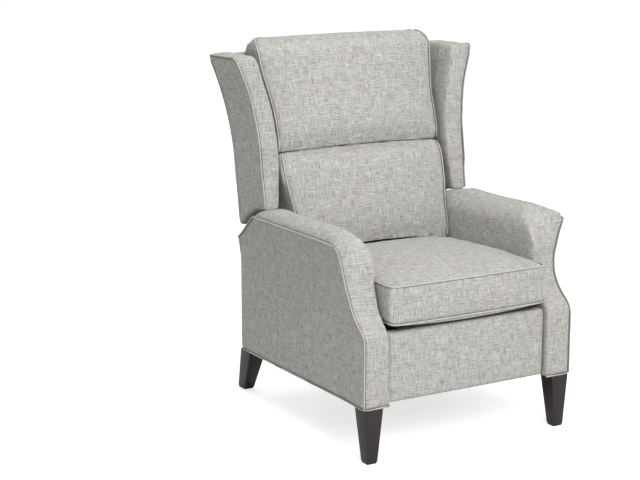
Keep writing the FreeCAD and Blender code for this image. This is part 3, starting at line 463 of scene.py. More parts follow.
def welts(name, paths, radius, material):
    """Covered cords along several lines, as one piece."""
    bm = bmesh.new()
    for path in paths:
        spots = [bm.verts.new(tuple(point)) for point in path]
        for pair in zip(spots, spots[1:]):
            bm.edges.new(pair)
    piece = built(name, bm)
    tree = bpy.data.node_groups.get("welt cord") or welt_tree(material)
    grown(piece, tree, Radius=radius, Spacing=CORD_SPACING)
    painted(piece, material)
    return piece


def sewn(piece, name, paths, body):
    """Sews cords onto a piece: lays them on its skin, draws the skin in beside them and covers them, with a
    wider dark tube sunk under each cord as painted shadow along its sides.
    """
    sizes = bpy.context.scene.recliner_welts
    # The cords' cloth has a lighter ground, a painted highlight on the round cords.
    material = highlighted_welt_tweed()
    skin = BVHTree.FromObject(piece, bpy.context.evaluated_depsgraph_get())
    paths = [resampled(path, 0.005) for path in paths]
    laid = [snapped(path, skin, sizes.radius * 0.6 - sizes.crease * 0.5) for path in paths]
    under = [snapped(path, skin, -sizes.crease * 0.5) for path in paths]
    creased(piece, laid, sizes.crease, sizes.crease_width)
    # The second, wider tube in dark cloth is sunk under each cord and shows beside it as painted shadow.
    for label, lines, radius, finish in ((name, laid, sizes.radius, material),
                                         (name + "_seam", under, sizes.radius * 1.30, thread())):
        cords = welts(label, lines, radius, finish)
        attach(cords, body)


def seam_line(piece, origin, normal, depth, keep):
    """Sews a flat seam where a plane meets the part of the skin that keep accepts."""
    origin, normal = Vector(origin), Vector(normal).normalized()
    reach, beside = 0.02, 0.0022
    with edited(piece.data) as bm:
        for offset in (0.0, -beside, beside):
            faces = [f for f in bm.faces if keep(f.calc_center_median())
                     and abs((f.calc_center_median() - origin).dot(normal)) < reach]
            edges = list({e for f in faces for e in f.edges})
            vertices = list({v for f in faces for v in f.verts})
            bmesh.ops.bisect_plane(bm, geom=vertices + edges + faces, dist=1e-5,
                                   plane_co=origin + normal * offset, plane_no=normal)
        bm.normal_update()
        for vertex in bm.verts:
            gap = abs((vertex.co - origin).dot(normal))
            if gap < reach and keep(vertex.co):
                if gap < 0.0008:
                    vertex.co -= vertex.normal * depth
                else:
                    vertex.co += vertex.normal * depth * 0.35 * math.exp(-((gap - 0.003) / 0.004) ** 2)
    piece.data.shade_smooth()


def new_material(name):
    """A material with its shader, ready for more nodes."""
    material = bpy.data.materials.new(name)
    material.use_nodes = True
    tree = material.node_tree
    tree.nodes.clear()
    shader = added(tree, "ShaderNodeBsdfPrincipled")
    added(tree, "ShaderNodeOutputMaterial", {"Surface": shader.outputs["BSDF"]})
    return material, tree, shader


def maths(tree, operation, *values):
    """One sum in a node tree, of values and sockets."""
    return added(tree, "ShaderNodeMath", dict(enumerate(values)), operation=operation).outputs[0]


def ranged(tree, value, low, high):
    """Smoothly turns a value between two limits into 0 to 1."""
    return added(tree, "ShaderNodeMapRange", {"Value": value, "From Min": low, "From Max": high},
                 interpolation_type="SMOOTHSTEP").outputs["Result"]


def streaks(tree, vector, scale, detail=2.0):
    """Noise drawn out by a different amount along each axis."""
    place = added(tree, "ShaderNodeMapping", {"Scale": scale, "Vector": vector})
    return added(tree, "ShaderNodeTexNoise", {
        "Scale": 1.0, "Detail": detail, "Roughness": 0.55, "Vector": place.outputs["Vector"]},
        noise_dimensions="3D").outputs["Fac"]


def mixed(tree, factor, first, second):
    """Blends two colours, each a value or a socket."""
    inputs = {0: factor}
    for key, value in ((6, first), (7, second)):
        inputs[key] = value if isinstance(value, bpy.types.NodeSocket) else (*value, 1)
    return added(tree, "ShaderNodeMix", inputs, data_type="RGBA").outputs[2]


def relief(tree, height, strength, distance, invert=False):
    """The normal of a surface with a fine relief."""
    return added(tree, "ShaderNodeBump", {"Strength": strength, "Distance": distance, "Height": height},
                 invert=invert).outputs["Normal"]


def cloth_plane(sizes):
    """The weave as it lies in one flat plane: dark dashes, pale threads and the height of the yarn."""
    group = bpy.data.node_groups.new("cloth plane", "ShaderNodeTree")
    group.interface.new_socket("Vector", in_out="INPUT", socket_type="NodeSocketVector")
    for label in ("Dark", "Pale", "Height"):
        group.interface.new_socket(label, in_out="OUTPUT", socket_type="NodeSocketFloat")
    spot = added(group, "NodeGroupInput").outputs["Vector"]
    wide = 1 / sizes.dash_width
    long = 1 / sizes.dash_length

    def threads(scale, low, high, detail=1.0):
        return ranged(group, streaks(group, spot, scale, detail), low, high)

    dark = maths(group, "MAXIMUM", threads((wide, long, 1), 0.50, 0.68),
                 threads((long * 1.2, wide, 1), 0.50, 0.68))
    pale = maths(group, "MAXIMUM", threads((-wide * 1.1, long * 0.8, 3), 0.54, 0.70),
                 threads((long * 0.8, -wide * 1.1, 3), 0.54, 0.70))
    grain = threads((wide * 1.3, wide * 1.3, 7), 0.40, 0.62, 2.0)
    dark = maths(group, "MULTIPLY_ADD", grain, 0.45, maths(group, "MULTIPLY", dark, 0.55))
    parts = added(group, "ShaderNodeSeparateXYZ", {0: spot})
    turn = math.pi / sizes.thread_pitch
    u, v = (maths(group, "SINE", maths(group, "MULTIPLY", parts.outputs[a], turn)) for a in "XY")
    lifted = maths(group, "MULTIPLY_ADD", pale, 0.6, maths(group, "MULTIPLY", u, v))
    height = maths(group, "MULTIPLY_ADD", dark, -0.8, lifted)
    added(group, "NodeGroupOutput", {"Dark": dark, "Pale": pale, "Height": height})
    return group


def tweed(name, lean, tint=1.0, dark_share=0.70):
    """Light warm-grey tweed, woven square to the piece that it covers."""
    sizes = bpy.context.scene.recliner_tweed
    group = bpy.data.node_groups.get("cloth plane") or cloth_plane(sizes)
    material, tree, shader = new_material(name)
    where = added(tree, "ShaderNodeTexCoord").outputs
    turn = added(tree, "ShaderNodeMapping", {"Rotation": (lean, 0, 0), "Vector": where["Object"]})
    spots = added(tree, "ShaderNodeSeparateXYZ", {0: turn.outputs["Vector"]})
    facing = added(tree, "ShaderNodeSeparateXYZ", {0: where["Normal"]})
    shares = [maths(tree, "POWER", maths(tree, "ABSOLUTE", facing.outputs[a]), 8.0) for a in "XYZ"]
    total = maths(tree, "ADD", maths(tree, "ADD", shares[0], shares[1]), shares[2])
    sums = {}
    for share, (a, b) in zip(shares, ("YZ", "XZ", "XY")):
        flat = added(tree, "ShaderNodeCombineXYZ", {0: spots.outputs[a], 1: spots.outputs[b]})
        plane = added(tree, "ShaderNodeGroup", {"Vector": flat.outputs[0]}, node_tree=group)
        weight = maths(tree, "DIVIDE", share, total)
        for label in ("Dark", "Pale", "Height"):
            sums[label] = maths(tree, "MULTIPLY_ADD", plane.outputs[label], weight, sums.get(label, 0.0))
    cloud = ranged(tree, streaks(tree, turn.outputs["Vector"], (7, 7, 7), 3.0), 0.50, 0.75)
    # A tint above 1 paints the ground lighter, which on the cords is a painted highlight.
    colour = tuple(min(1.0, c * tint) for c in sizes.ground)
    for value, share, yarn in ((cloud, 0.35, sizes.rose_yarn), (sums["Dark"], dark_share, sizes.dark_yarn),
                               (sums["Pale"], 0.38, sizes.pale_yarn)):
        colour = mixed(tree, maths(tree, "MULTIPLY", value, share), colour, yarn)
    fed(tree, shader, {
        "Base Color": colour, "Normal": relief(tree, sums["Height"], 0.55, 0.0004), "Roughness": 0.92,
        "Specular IOR Level": 0.15, "Sheen Weight": 0.12, "Sheen Roughness": 0.45})
    return material


def stained_wood(name, ground, grain, roughness, coat, scale):
    """Wood whose grain runs up the piece."""
    material, tree, shader = new_material(name)
    spot = added(tree, "ShaderNodeTexCoord").outputs["Object"]
    pores = ranged(tree, streaks(tree, spot, (420 * scale, 420 * scale, 16 * scale), 3.0), 0.48, 0.66)
    bands = ranged(tree, streaks(tree, spot, (60 * scale, 60 * scale, 5 * scale), 2.0), 0.35, 0.65)
    middle = tuple(a * 0.6 + b * 0.4 for a, b in zip(ground, grain))
    colour = mixed(tree, maths(tree, "MULTIPLY", pores, 0.7), mixed(tree, bands, ground, middle), grain)
    fed(tree, shader, {
        "Base Color": colour, "Roughness": maths(tree, "MULTIPLY_ADD", pores, 0.12, roughness),
        "Normal": relief(tree, pores, 0.35, 0.0002, invert=True),
        "Coat Weight": coat, "Coat Roughness": 0.28})
    return material


def sheet_metal(name, colour, metallic, roughness, wear):
    """Enamelled or plated steel, rubbed a little in scattered patches."""
    material, tree, shader = new_material(name)
    spot = added(tree, "ShaderNodeTexCoord").outputs["Object"]
    fine = streaks(tree, spot, (600, 600, 600), 2.0)
    rubbed = ranged(tree, streaks(tree, spot, (45, 45, 45), 5.0), 0.56, 0.72)
    bare = tuple(min(1.0, c + wear) for c in colour)
    fed(tree, shader, {
        "Base Color": mixed(tree, rubbed, colour, bare), "Metallic": metallic,
        "Roughness": maths(tree, "MULTIPLY_ADD", fine, 0.18, roughness - 0.09),
        "Normal": relief(tree, fine, 0.2, 0.00015)})
    return material


def plain_cloth(name, colour, pitch):
    """Plain-woven backing cloth or webbing."""
    material, tree, shader = new_material(name)
    spot = added(tree, "ShaderNodeTexCoord").outputs["Object"]
    parts = added(tree, "ShaderNodeSeparateXYZ", {0: spot})
    turn = math.pi / pitch
    x, y, z = (maths(tree, "SINE", maths(tree, "MULTIPLY", parts.outputs[a], turn)) for a in "XYZ")
    flat = maths(tree, "MULTIPLY", x, maths(tree, "ADD", y, z))
    light = tuple(min(1.0, c * 1.7 + 0.01) for c in colour)
    fed(tree, shader, {
        "Base Color": mixed(tree, ranged(tree, flat, -1.0, 1.0), colour, light), "Roughness": 0.85,
        "Normal": relief(tree, flat, 0.6, 0.0004)})
    return material


def finish_of(name, maker, *values):
    """A finish that is made once and then shared."""
    return bpy.data.materials.get(name) or maker(name, *values)


def thread():
    """Dark cloth for the wider tube sunk under each cord, a painted shadow along the cord's sides."""
    return finish_of("seam thread", plain_cloth, (0.120, 0.115, 0.105), 0.0012)


def deck_cloth():
    """The black cloth over the springs and round the seat frame."""
    return finish_of("black deck cloth", plain_cloth, (0.020, 0.020, 0.021), 0.0016)


def zinc():
    """The bright plating of the screws and the bolts."""
    return finish_of("zinc plating", sheet_metal, (0.62, 0.62, 0.64), 1.0, 0.32, 0.05)


def body_tweed():
    """The cover of the base, the seat and the footrest."""
    return finish_of("tweed cover", tweed, 0.0)


def back_tweed():
    """The cover of the back, woven square to its lean."""
    return finish_of("tweed back cover", tweed, BACK_LEAN)


def highlighted_welt_tweed():
    """The same cloth cut on the bias round a cord, where fewer dark threads show, with its ground painted
    lighter as a painted highlight on the round cord.
    """
    return finish_of("tweed welt", tweed, BACK_LEAN, 1.14, 0.35)


def dressed(piece, material, slot, body, *nodes):
    """Gives a finished piece its material and its body, and hides the frame pieces that it stands for."""
    painted(piece, material)
    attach(piece, body)
    if nodes:
        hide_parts(*nodes)


def arm_front_line():
    """The side view of an arm's front and top edge, from the bottom of the front to the back."""
    return outline((0.0, ARM_BOTTOM), [
        (0.0, 0.366), ((0.011, 0.384), (0.028, 0.399)), ((0.062, 0.432), (0.084, 0.474)),
        ((0.0935, 0.514), (0.0930, 0.556)), (ARM_SCOOP, 0.606), (ARM_SCOOP, ARM_TOP - CORNER),
        ((ARM_SCOOP + CORNER_CUT, ARM_TOP - CORNER_CUT), (ARM_SCOOP + CORNER, ARM_TOP)), (0.400, ARM_TOP),
        ((0.545, 0.645), (0.622, 0.607)), (ARM_DEPTH, 0.531)], 24)


def arm_outer_line():
    """The front view of an arm's outer face: upright, then flared."""
    return outline((BODY_HALF, ARM_BOTTOM), [(BODY_HALF, 0.445), ((0.37696, 0.54636), FLARE_TOP)], 24)


def arm_body():
    """The block of the right arm, from its side view and its front view, with room for the rail."""
    side = prism("arm side", arm_front_line() + [(ARM_DEPTH, ARM_BOTTOM)], "X", 0.2, 0.5)
    section = arm_outer_line()
    shoulder = (0.304, 0.641)
    section += arc(FLARE_TOP, (0.354, 0.660), shoulder, 20)
    section += arc(shoulder, (0.286, 0.617), (INSIDE_HALF, 0.590), 12)
    section.append((INSIDE_HALF, ARM_BOTTOM))
    front = prism("arm_right", section, "Y", -0.01, ARM_DEPTH + 0.01)
    arm = combined(front, side, "INTERSECT")
    rail = prism("rail", rectangle((0.27, 0.168), (0.298, 0.300)), "Y", 0.040, 0.700)
    return combined(arm, rail, "DIFFERENCE")


def rounded_off(spot, depth, height, radius):
    """How far a point lies outside a quarter circle at the top of the arm's front, as depth and height."""
    depth, height = depth + radius, height - radius
    away = math.hypot(spot.y - depth, spot.z - height)
    if spot.y > depth or spot.z < height or away < radius:
        return Vector((0, 0, 0))
    return Vector((0, depth - spot.y, height - spot.z)) * (1 - radius / away)


def rolled_front(spot):
    """Rounds the front of the roll off towards the inside of the arm."""
    return rounded_off(spot, ARM_SCOOP, ARM_TOP, 0.140) * (1 - eased(spot.x, 0.325, 0.403))


def arm_stuffing(spot):
    """How far the stuffing moves the skin: fuller front corners, and a top that slopes to the rear."""
    scoop = float(np.interp(spot.z, (0.366, 0.474, 0.556), (0, 0.084, ARM_SCOOP)))
    behind = spot.y - scoop
    wide = 0.006 * (1 - eased(behind, 0.0, 0.13)) * eased(spot.x, 0.335, 0.358)
    wide *= 1 - 0.6 * eased(spot.z, 0.54, 0.62)
    front = 0.018 * (1 - eased(spot.x, 0.285, 0.350)) * (1 - eased(behind, 0.0, 0.06))
    front *= eased(spot.z, 0.37, 0.45) * (1 - eased(spot.z, 0.585, 0.635))
    top = float(np.interp(spot.y, (0.09, 0.20, 0.35, 0.455, 0.54, 0.60, 0.66, 0.748),
                          (0.003, 0.001, -0.004, -0.004, 0.002, 0.017, 0.015, 0)))
    top *= eased(spot.z, 0.56, 0.62) * (1 - eased(spot.x, 0.360, 0.400))
    corner = rounded_off(spot, ARM_SCOOP, FLARE_TOP[1], 0.014) * eased(spot.x, 0.380, 0.402)
    return Vector((wide, -front, top)) + corner


def arm_welt_lines(sign):
    """Lines of the cords on one arm: round the outer face, and along the bottom edge."""
    outer = arm_outer_line()
    edge = []
    for depth, height in arm_front_line():
        if height <= FLARE_TOP[1]:
            edge.append((along(outer, 1, height, 0), depth, height))
        elif edge[-1][2] < FLARE_TOP[1] or depth > edge[-1][1]:
            edge.append((FLARE_TOP[0], depth, FLARE_TOP[1]))
    bottom = [(x, depth, ARM_BOTTOM) for x, depth in (
        (BODY_HALF, ARM_DEPTH), (BODY_HALF, 0.14), (BODY_HALF, 0.0), (INSIDE_HALF, 0.0))]
    lines = []
    for line in (resampled(edge, 0.004), resampled(bottom, 0.01)):
        moved = [Vector(p) + arm_stuffing(Vector(p)) for p in line]
        lines.append([(sign * x, depth + ARM_FRONT, height) for x, depth, height in moved])
    return lines


def make_arms():
    """Both padded arms with their cords and the upright seams of the outer faces."""
    padding = bpy.context.scene.recliner_padding
    right = covered(arm_body(), padding.cell, 5)
    for rounds, reach in ((6, 0.350), (8, 0.335)):
        relaxed(right.data, rounds, lambda p, reach=reach: p.x < reach and p.z > 0.20)
    for push in (rolled_front, arm_stuffing):
        nudged(right.data, lambda spot, normal, push=push: push(spot))
    for rounds, reach, low in ((8, 0.345, 0.56), (14, 0.325, 0.56), (10, 0.310, 0.42)):
        relaxed(right.data, rounds,
                lambda p, reach=reach, low=low: p.x < reach and p.z > low and p.y < 0.24)
    right.data.transform(placed(False))
    left = mirrored(right, "arm_left")
    for (side, sign), arm in zip(SIDES, (right, left)):
        for low, high in ((0.510, 0.497), (0.295, 0.279)):
            tilt = (low - high) / 0.45
            seam_line(arm, (sign * BODY_HALF, low + ARM_FRONT, 0.17), (0, 1, tilt), 0.0030,
                      lambda p, sign=sign: p.x * sign > BODY_HALF - 0.012 and p.z < 0.625)
        edge, bottom = arm_welt_lines(sign)
        sewn(arm, "arm_welt_" + side, [edge, bottom], "chassis")
        dressed(arm, body_tweed(), "upholstery", "chassis", "arm_pad_" + side)


def wing_outer_line():
    """The front view of a wing's outer edge."""
    waist = 0.769
    middle = (WING_HALF + 0.062 * 0.28, waist + (WING_TOP[1] - waist) * 0.52)
    return outline((WING_HALF, WING_HEEL - 0.002), [(0.3705, waist), (middle, WING_TOP)], 24)


WING_OUTER_LINE = np.array(wing_outer_line())


def wing_edge(height):
    """Where a wing's outer edge lies at a height."""
    return float(np.interp(height, WING_OUTER_LINE[:, 1], WING_OUTER_LINE[:, 0]))


def wing_body():
    """The block of the right wing, before it is leaned."""
    side = outline((WING_FRONT, WING_FOOT), [
        (WING_FRONT + 0.062, 0.620), ((0.684, 0.601), (WING_REAR + 0.006, WING_HEEL)),
        (WING_REAR + 0.006, WING_TOP[1] + 0.002), WING_CORNER[1], (WING_CORNER[0], WING_TURN)])
    side = prism("wing side", side, "X", 0.25, 0.5)
    section = wing_outer_line() + outline((0.366, WING_TOP[1]), [
        (0.366, 1.070), ((0.326, 0.950), (0.309, 0.820)), ((0.312, 0.717), (0.329, WING_FOOT)),
        (0.329, WING_HEEL - 0.002)], 20)
    wing = prism("wing_right", section, "Y", WING_FRONT - 0.01, WING_REAR)
    return combined(wing, side, "INTERSECT")


def wing_stuffing(spot):
    """How far the stuffing moves the skin: a wider front, and a fuller top that leans out."""
    edge = wing_edge(spot.z)
    outer = eased(spot.x, edge - 0.028, edge - 0.006)
    wide = 0.005 * (1 - eased(spot.y, WING_FRONT, WING_FRONT + 0.10)) + 0.010 * eased(spot.z, 0.96, 1.10)
    inner = 0.008 * eased(spot.z, 1.0, 1.08) + 0.006 * (1 - eased(spot.z, 0.62, 0.70))
    return Vector((wide * outer - inner * (1 - outer), 0, 0.008 * eased(spot.z, 1.02, 1.075)))


def wing_welt_lines(sign):
    """Lines of the cords on one wing: up the front's outer edge, over the top and back."""
    outer = wing_outer_line()
    edge = [(along(outer, 1, z, 0), WING_FRONT, z)
            for z in np.linspace(WING_FOOT + 0.002, WING_TURN[1] - 0.006, 60)]
    for depth, height in arc(WING_TURN, *WING_CORNER, 8):
        edge.append((along(outer, 1, height, 0), depth, height))
    edge.append((WING_TOP[0], WING_REAR - 0.004, WING_TOP[1]))
    move = placed(True)
    moved = [move @ (Vector(p) + wing_stuffing(Vector(p))) for p in edge]
    return [(sign * x, y, z) for x, y, z in moved]


def make_wings():
    """Both wings with their cords."""
    padding = bpy.context.scene.recliner_padding
    right = covered(wing_body(), padding.cell, 4)
    for rounds, inset in ((6, 0.022), (8, 0.036)):
        relaxed(right.data, rounds,
                lambda p, inset=inset: p.x < wing_edge(p.z) - inset and p.y < WING_FRONT + 0.06)
    nudged(right.data, lambda spot, normal: wing_stuffing(spot))
    relaxed(right.data, 14, lambda p: p.z > 1.05 and p.y > WING_FRONT + 0.03)
    right.data.transform(placed(True))
    left = mirrored(right, "wing_left")
    for (side, sign), wing in zip(SIDES, (right, left)):
        sewn(wing, "wing_welt_" + side, [wing_welt_lines(sign)], "back")
        dressed(wing, back_tweed(), "upholstery", "back", "wing_pad_" + side)


def outside_back_line():
    """The right half of the outside back's outline in the front view, from bottom to top."""
    lower = outline((0.272, 0.303), [
        (0.272, 0.548), ((0.296, 0.568), (0.324, WING_HEEL)), (WING_HALF, WING_HEEL)])
    return lower + wing_outer_line()[1:]


def make_outside_back():
    """The covered panel behind the back, with a cord round its edge, and the panel behind the base."""
    right = outside_back_line()
    crown = arc(WING_TOP, (0, WING_TOP[1] + 0.014), (-WING_TOP[0], WING_TOP[1]), 30)
    loop = right + crown + [(-x, z) for x, z in reversed(right[:-1])]
    panel = covered(prism("outside_back_cover", loop, "Y", WING_REAR, LEAN_HINGE[0]), PANEL_CELL, 2)
    panel.data.transform(placed(True))
    move = placed(True)
    inset = 0.007
    edge = [tuple(move @ Vector((x - math.copysign(inset, x), LEAN_HINGE[0], z - inset)))
            for x, z in loop[4:-3]]
    sewn(panel, "outside_back_welt", [edge], "back")
    dressed(panel, back_tweed(), "upholstery", "back", "outside_back")

    low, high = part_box("rear_panel")
    corners = rectangle((low.x, low.z), (high.x, high.z))
    base = covered(prism("rear_panel_cover", corners, "Y", low.y, high.y), PANEL_CELL, 2)
    inset = 0.002
    lines = [[(low.x + inset, high.y, z), (high.x - inset, high.y, z)]
             for z in (low.z + inset, high.z - inset)]
    sewn(base, "rear_panel_welt", lines, "chassis")
    dressed(base, body_tweed(), "upholstery", "chassis", "rear_panel")


def filled(piece, lines, pinned):
    """Lets a loose cushion down and fills it by simulation, held at its seams and where it rests."""
    padding = bpy.context.scene.recliner_padding
    mesh = piece.data
    tree = point_tree(lines)
    group = piece.vertex_groups.new(name="held")
    for vertex in mesh.vertices:
        gap = tree.find(vertex.co)[2]
        held = pinned(vertex.co, vertex.normal)
        group.add([vertex.index], 1.0 if held or gap < HEM else 0.0, "REPLACE")
        if not held:
            away = min(1.0, max(0.0, (gap - HEM) / 0.05))
            vertex.co -= vertex.normal * padding.slack * away * away * (3 - 2 * away)
    start = np.array([v.co for v in mesh.vertices])
    cloth = piece.modifiers.new("filling", "CLOTH")
    for name, value in (("quality", 4), ("mass", 0.35), ("tension_stiffness", 25),
                        ("compression_stiffness", 25), ("shear_stiffness", 8), ("bending_stiffness", 4),
                        ("use_pressure", True), ("uniform_pressure_force", padding.pressure),
                        ("vertex_group_mass", "held")):
        setattr(cloth.settings, name, value)
    cloth.settings.effector_weights.gravity = 0
    cloth.collision_settings.use_collision = False
    cloth.point_cache.frame_start = 1
    cloth.point_cache.frame_end = FILLING_FRAMES
    scene = bpy.context.scene
    for number in range(1, FILLING_FRAMES + 1):
        scene.frame_set(number)
    result = piece.evaluated_get(bpy.context.evaluated_depsgraph_get())
    end = np.array([v.co for v in result.to_mesh().vertices])
    result.to_mesh_clear()
    piece.modifiers.clear()
    piece.vertex_groups.clear()
    scene.frame_set(1)
    moved = end - start
    length = np.linalg.norm(moved, axis=1, keepdims=True)
    print(piece.name, "filled, its points moved at most", round(float(length.max()), 4))
    moved *= padding.most_swell / np.maximum(length, padding.most_swell)
    mesh.vertices.foreach_set("co", (start + moved).ravel())
    mesh.update()


def make_cushion(name, node, body, lines, material, push, pinned):
    """A loose cushion: skinned, shaped, filled, sewn and covered."""
    padding = bpy.context.scene.recliner_padding
    cushion = covered(frame_copy(node, name), padding.cushion_cell, 2)
    nudged(cushion.data, push)
    lines = [resampled(line, 0.004) for line in lines]
    filled(cushion, lines, pinned)
    sewn(cushion, name + "_welt", lines, body)
    modified(cushion, "SUBSURF", levels=1, render_levels=1)
    cushion.data.shade_smooth()
    dressed(cushion, material, "upholstery", body, node)


def seat_plan(height_of):
    """The seat cushion's edge, seen from above, with a height from the depth."""
    right = outline((SEAT_HALF - CORNER, SEAT_NOSE + 0.002), [
        ((SEAT_HALF - CORNER_CUT, SEAT_NOSE + CORNER_CUT + 0.001), (SEAT_HALF, SEAT_NOSE + CORNER)),
        ((SEAT_HALF - 0.003, (SEAT_NOSE + SEAT_REAR) / 2), (SEAT_HALF, SEAT_REAR - CORNER)),
        ((SEAT_HALF - CORNER_CUT, SEAT_REAR - CORNER_CUT), (SEAT_HALF - CORNER, SEAT_REAR))])
    points = right + [(-x, y) for x, y in reversed(right)]
    points += arc(points[-1], (0, SEAT_NOSE), points[0], 30)
    return [(x, y + ARM_FRONT, height_of(y)) for x, y in points]


def make_seat_cushion():
    """The loose seat cushion, with cords round its top and bottom."""
    depths = (SEAT_NOSE, 0.060, 0.200, 0.380, 0.480, SEAT_REAR)
    heights = (0.511, 0.511, 0.510, 0.506, 0.497, 0.485)
    top = seat_plan(lambda y: float(np.interp(y, depths, heights)))
    bottom = seat_plan(lambda y: 0.3985 if y < 0.026 else 0.3955)

    def push(spot, normal):
        depth = spot.y - ARM_FRONT
        rear = eased(depth, 0.38, 0.50) * eased(spot.z, 0.44, 0.48) * 0.006
        front = (1 - eased(depth, 0.03, 0.12)) * (1 - eased(spot.z, 0.390, 0.440))
        front *= 0.011 * (spot.x / SEAT_HALF) ** 2 - 0.004
        return 0, 0, rear + front

    make_cushion("seat_cushion_cover", "seat_cushion", "seat", [top, bottom], body_tweed(), push,
                 lambda p, n: (n.z < -0.7 and p.z < 0.41) or abs(n.x) > 0.8 or n.y > 0.8)


def tuck(spot, normal, outline_points, seams):
    """How far a back cushion's face is drawn in towards its seams and its side edges."""
    upright = placed(True).inverted() @ spot
    if normal.y > 0:
        return upright, Vector()
    half = along(outline_points, 1, upright.z, 0)
    deep = 0.006 * math.exp(-(((half - abs(upright.x)) / 0.022) ** 2))
    for height, arch, depth in seams:
        line = height + arch * (1 - (upright.x / 0.29) ** 2)
        deep = max(deep, depth * math.exp(-(((upright.z - line) / 0.030) ** 2)))
    return upright, placed(True).to_3x3() @ Vector((0, deep, 0))


def belly(upright, normal, height, depth):
    """How far a back cushion's face hangs forward at its fullest height."""
    if normal.y > 0:
        return Vector()
    share = math.exp(-(((upright.z - height) / 0.055) ** 2)) * (1 - eased(abs(upright.x), 0.17, 0.27))
    return placed(True).to_3x3() @ Vector((0, -depth * share, 0))


def edge_line(outline_points, curve, low, high):
    """The side edge of a back cushion on the right, from its front view and its side curve."""
    move = placed(True)
    return [tuple(move @ Vector((along(outline_points, 1, z, 0), along(curve, 1, z, 0), z)))
            for z in np.linspace(low, high, 90)]


def both_sides(line):
    """A line on the right and its mirror image."""
    return [line, [(-x, y, z) for x, y, z in line]]


def make_lower_cushion():
    """The lower back cushion, with a cord down each side."""
    curve = outline((0.515, 0.455), [
        ((0.522, 0.530), (0.535, 0.610)), ((0.545, 0.690), (0.559, 0.760)),
        ((0.569, 0.782), (0.592, 0.800))])
    sides = outline((0.2645, 0.475), [
        ((0.2735, 0.479), (0.2765, 0.488)), (0.2765, 0.590), ((0.2815, 0.612), (0.2865, 0.640)),
        ((0.293, 0.705), (0.293, 0.7692)), ((0.290, 0.7822), (0.281, 0.7872))])

    def push(spot, normal):
        upright, move = tuck(spot, normal, sides, ((0.787, 0.007, 0.011), (0.478, 0.020, 0.015)))
        wider = 0.009 * math.exp(-(((upright.z - 0.725) / 0.045) ** 2)) * eased(-upright.x, 0.20, 0.28)
        lower = -0.006 * (1 - eased(upright.z, 0.485, 0.54)) * (1 - eased(normal.y, -0.2, 0.4))
        return move + Vector((-wider, 0, lower)) + belly(upright, normal, 0.600, 0.009)

    make_cushion("lower_cushion_cover", "lower_back_cushion", "back",
                 both_sides(edge_line(sides, curve, 0.479, 0.785)), back_tweed(), push,
                 lambda p, n: n.y > 0.6 or abs(n.x) > 0.8 or n.z < -0.55 or n.z > 0.75)


def make_upper_cushion():
    """The upper back cushion, which rolls back over the top rail, with a cord down each side."""
    curve = outline((0.572, 0.770), [
        ((0.580, 0.850), (0.593, 0.915)), ((0.606, 0.985), (0.616, 1.060)),
        ((0.630, 1.124), (0.676, 1.150))])
    sides = outline((0.288, 0.788), [
        ((0.294, 0.791), (0.296, 0.799)), ((0.293, 0.880), (0.303, 0.986)),
        ((0.314, 1.045), (0.321, 1.104)), ((0.312, 1.138), (0.285, 1.152))])

    def push(spot, normal):
        upright, move = tuck(spot, normal, sides, ((0.789, 0.007, 0.016),))
        narrow = 0.010 * eased(upright.y, 0.62, 0.70) * eased(upright.z, 0.98, 1.08)
        narrow *= eased(abs(upright.x), 0.2, 0.3)
        return move + Vector((-math.copysign(narrow, spot.x), 0, 0)) + belly(upright, normal, 0.865, 0.006)

    make_cushion("upper_cushion_cover", "upper_back_cushion", "back",
                 both_sides(edge_line(sides, curve, 0.791, 1.149)), back_tweed(), push,
                 lambda p, n: n.y > 0.6 or abs(n.x) > 0.8 or n.z < -0.6)


def make_footrest_pad():
    """The padded panel under the seat."""
    pad = covered(frame_copy("footrest_pad", "footrest_cover"), PANEL_CELL, 12)
    dressed(pad, body_tweed(), "upholstery", "footrest", "footrest_pad")


def make_legs():
    """The four stained legs with softened edges."""
    wood = bpy.context.scene.recliner_wood
    finish = finish_of("espresso stain", stained_wood, tuple(wood.leg_stain), tuple(wood.leg_grain),
                       0.40, 0.12, 1.0)
    for place in ("front", "rear"):
        for side, _ in SIDES:
            node = f"{place}_leg_{side}"
            leg = frame_copy(node, node + "_finished")
            with edited(leg.data) as bm:
                bmesh.ops.dissolve_limit(bm, angle_limit=math.radians(2), verts=bm.verts, edges=bm.edges)
            modified(leg, "BEVEL", width=wood.edge_round, segments=3, limit_method="ANGLE",
                     angle_limit=math.radians(20))
            leg.data.shade_smooth()
            leg.data.set_sharp_from_angle(angle=math.radians(32))
            dressed(leg, finish, "dark_wood", "chassis", node)


def screw_tree(material):
    """Pan-head screws on a set of points, all facing along the chair's width."""
    tree, source = new_tree("screw heads", {"Radius": 0.004})
    thickness = 0.0016
    points = added(tree, "GeometryNodeMeshToPoints", {"Mesh": source["Geometry"]})
    head = added(tree, "GeometryNodeMeshCylinder", {
        "Vertices": 16, "Depth": thickness, "Radius": source["Radius"]})
    dome = added(tree, "GeometryNodeMeshUVSphere", {"Segments": 12, "Rings": 6, "Radius": source["Radius"]})
    flat = added(tree, "GeometryNodeTransform", {
        "Geometry": dome.outputs["Mesh"], "Translation": (0, 0, thickness / 2), "Scale": (0.92, 0.92, 0.3)})
    both = added(tree, "GeometryNodeJoinGeometry", {"Geometry": head.outputs["Mesh"]})
    fed(tree, both, {"Geometry": flat.outputs["Geometry"]})
    spot = added(tree, "GeometryNodeInputPosition").outputs["Position"]
    split = added(tree, "ShaderNodeSeparateXYZ", {0: spot})
    swing = maths(tree, "MULTIPLY", maths(tree, "SIGN", split.outputs["X"]), -math.pi / 2)
    turn = added(tree, "ShaderNodeCombineXYZ", {"Y": swing})
    copies = added(tree, "GeometryNodeInstanceOnPoints", {
        "Points": points.outputs["Points"], "Instance": both.outputs["Geometry"],
        "Rotation": turn.outputs[0]})
    return finished(tree, copies.outputs["Instances"], material)


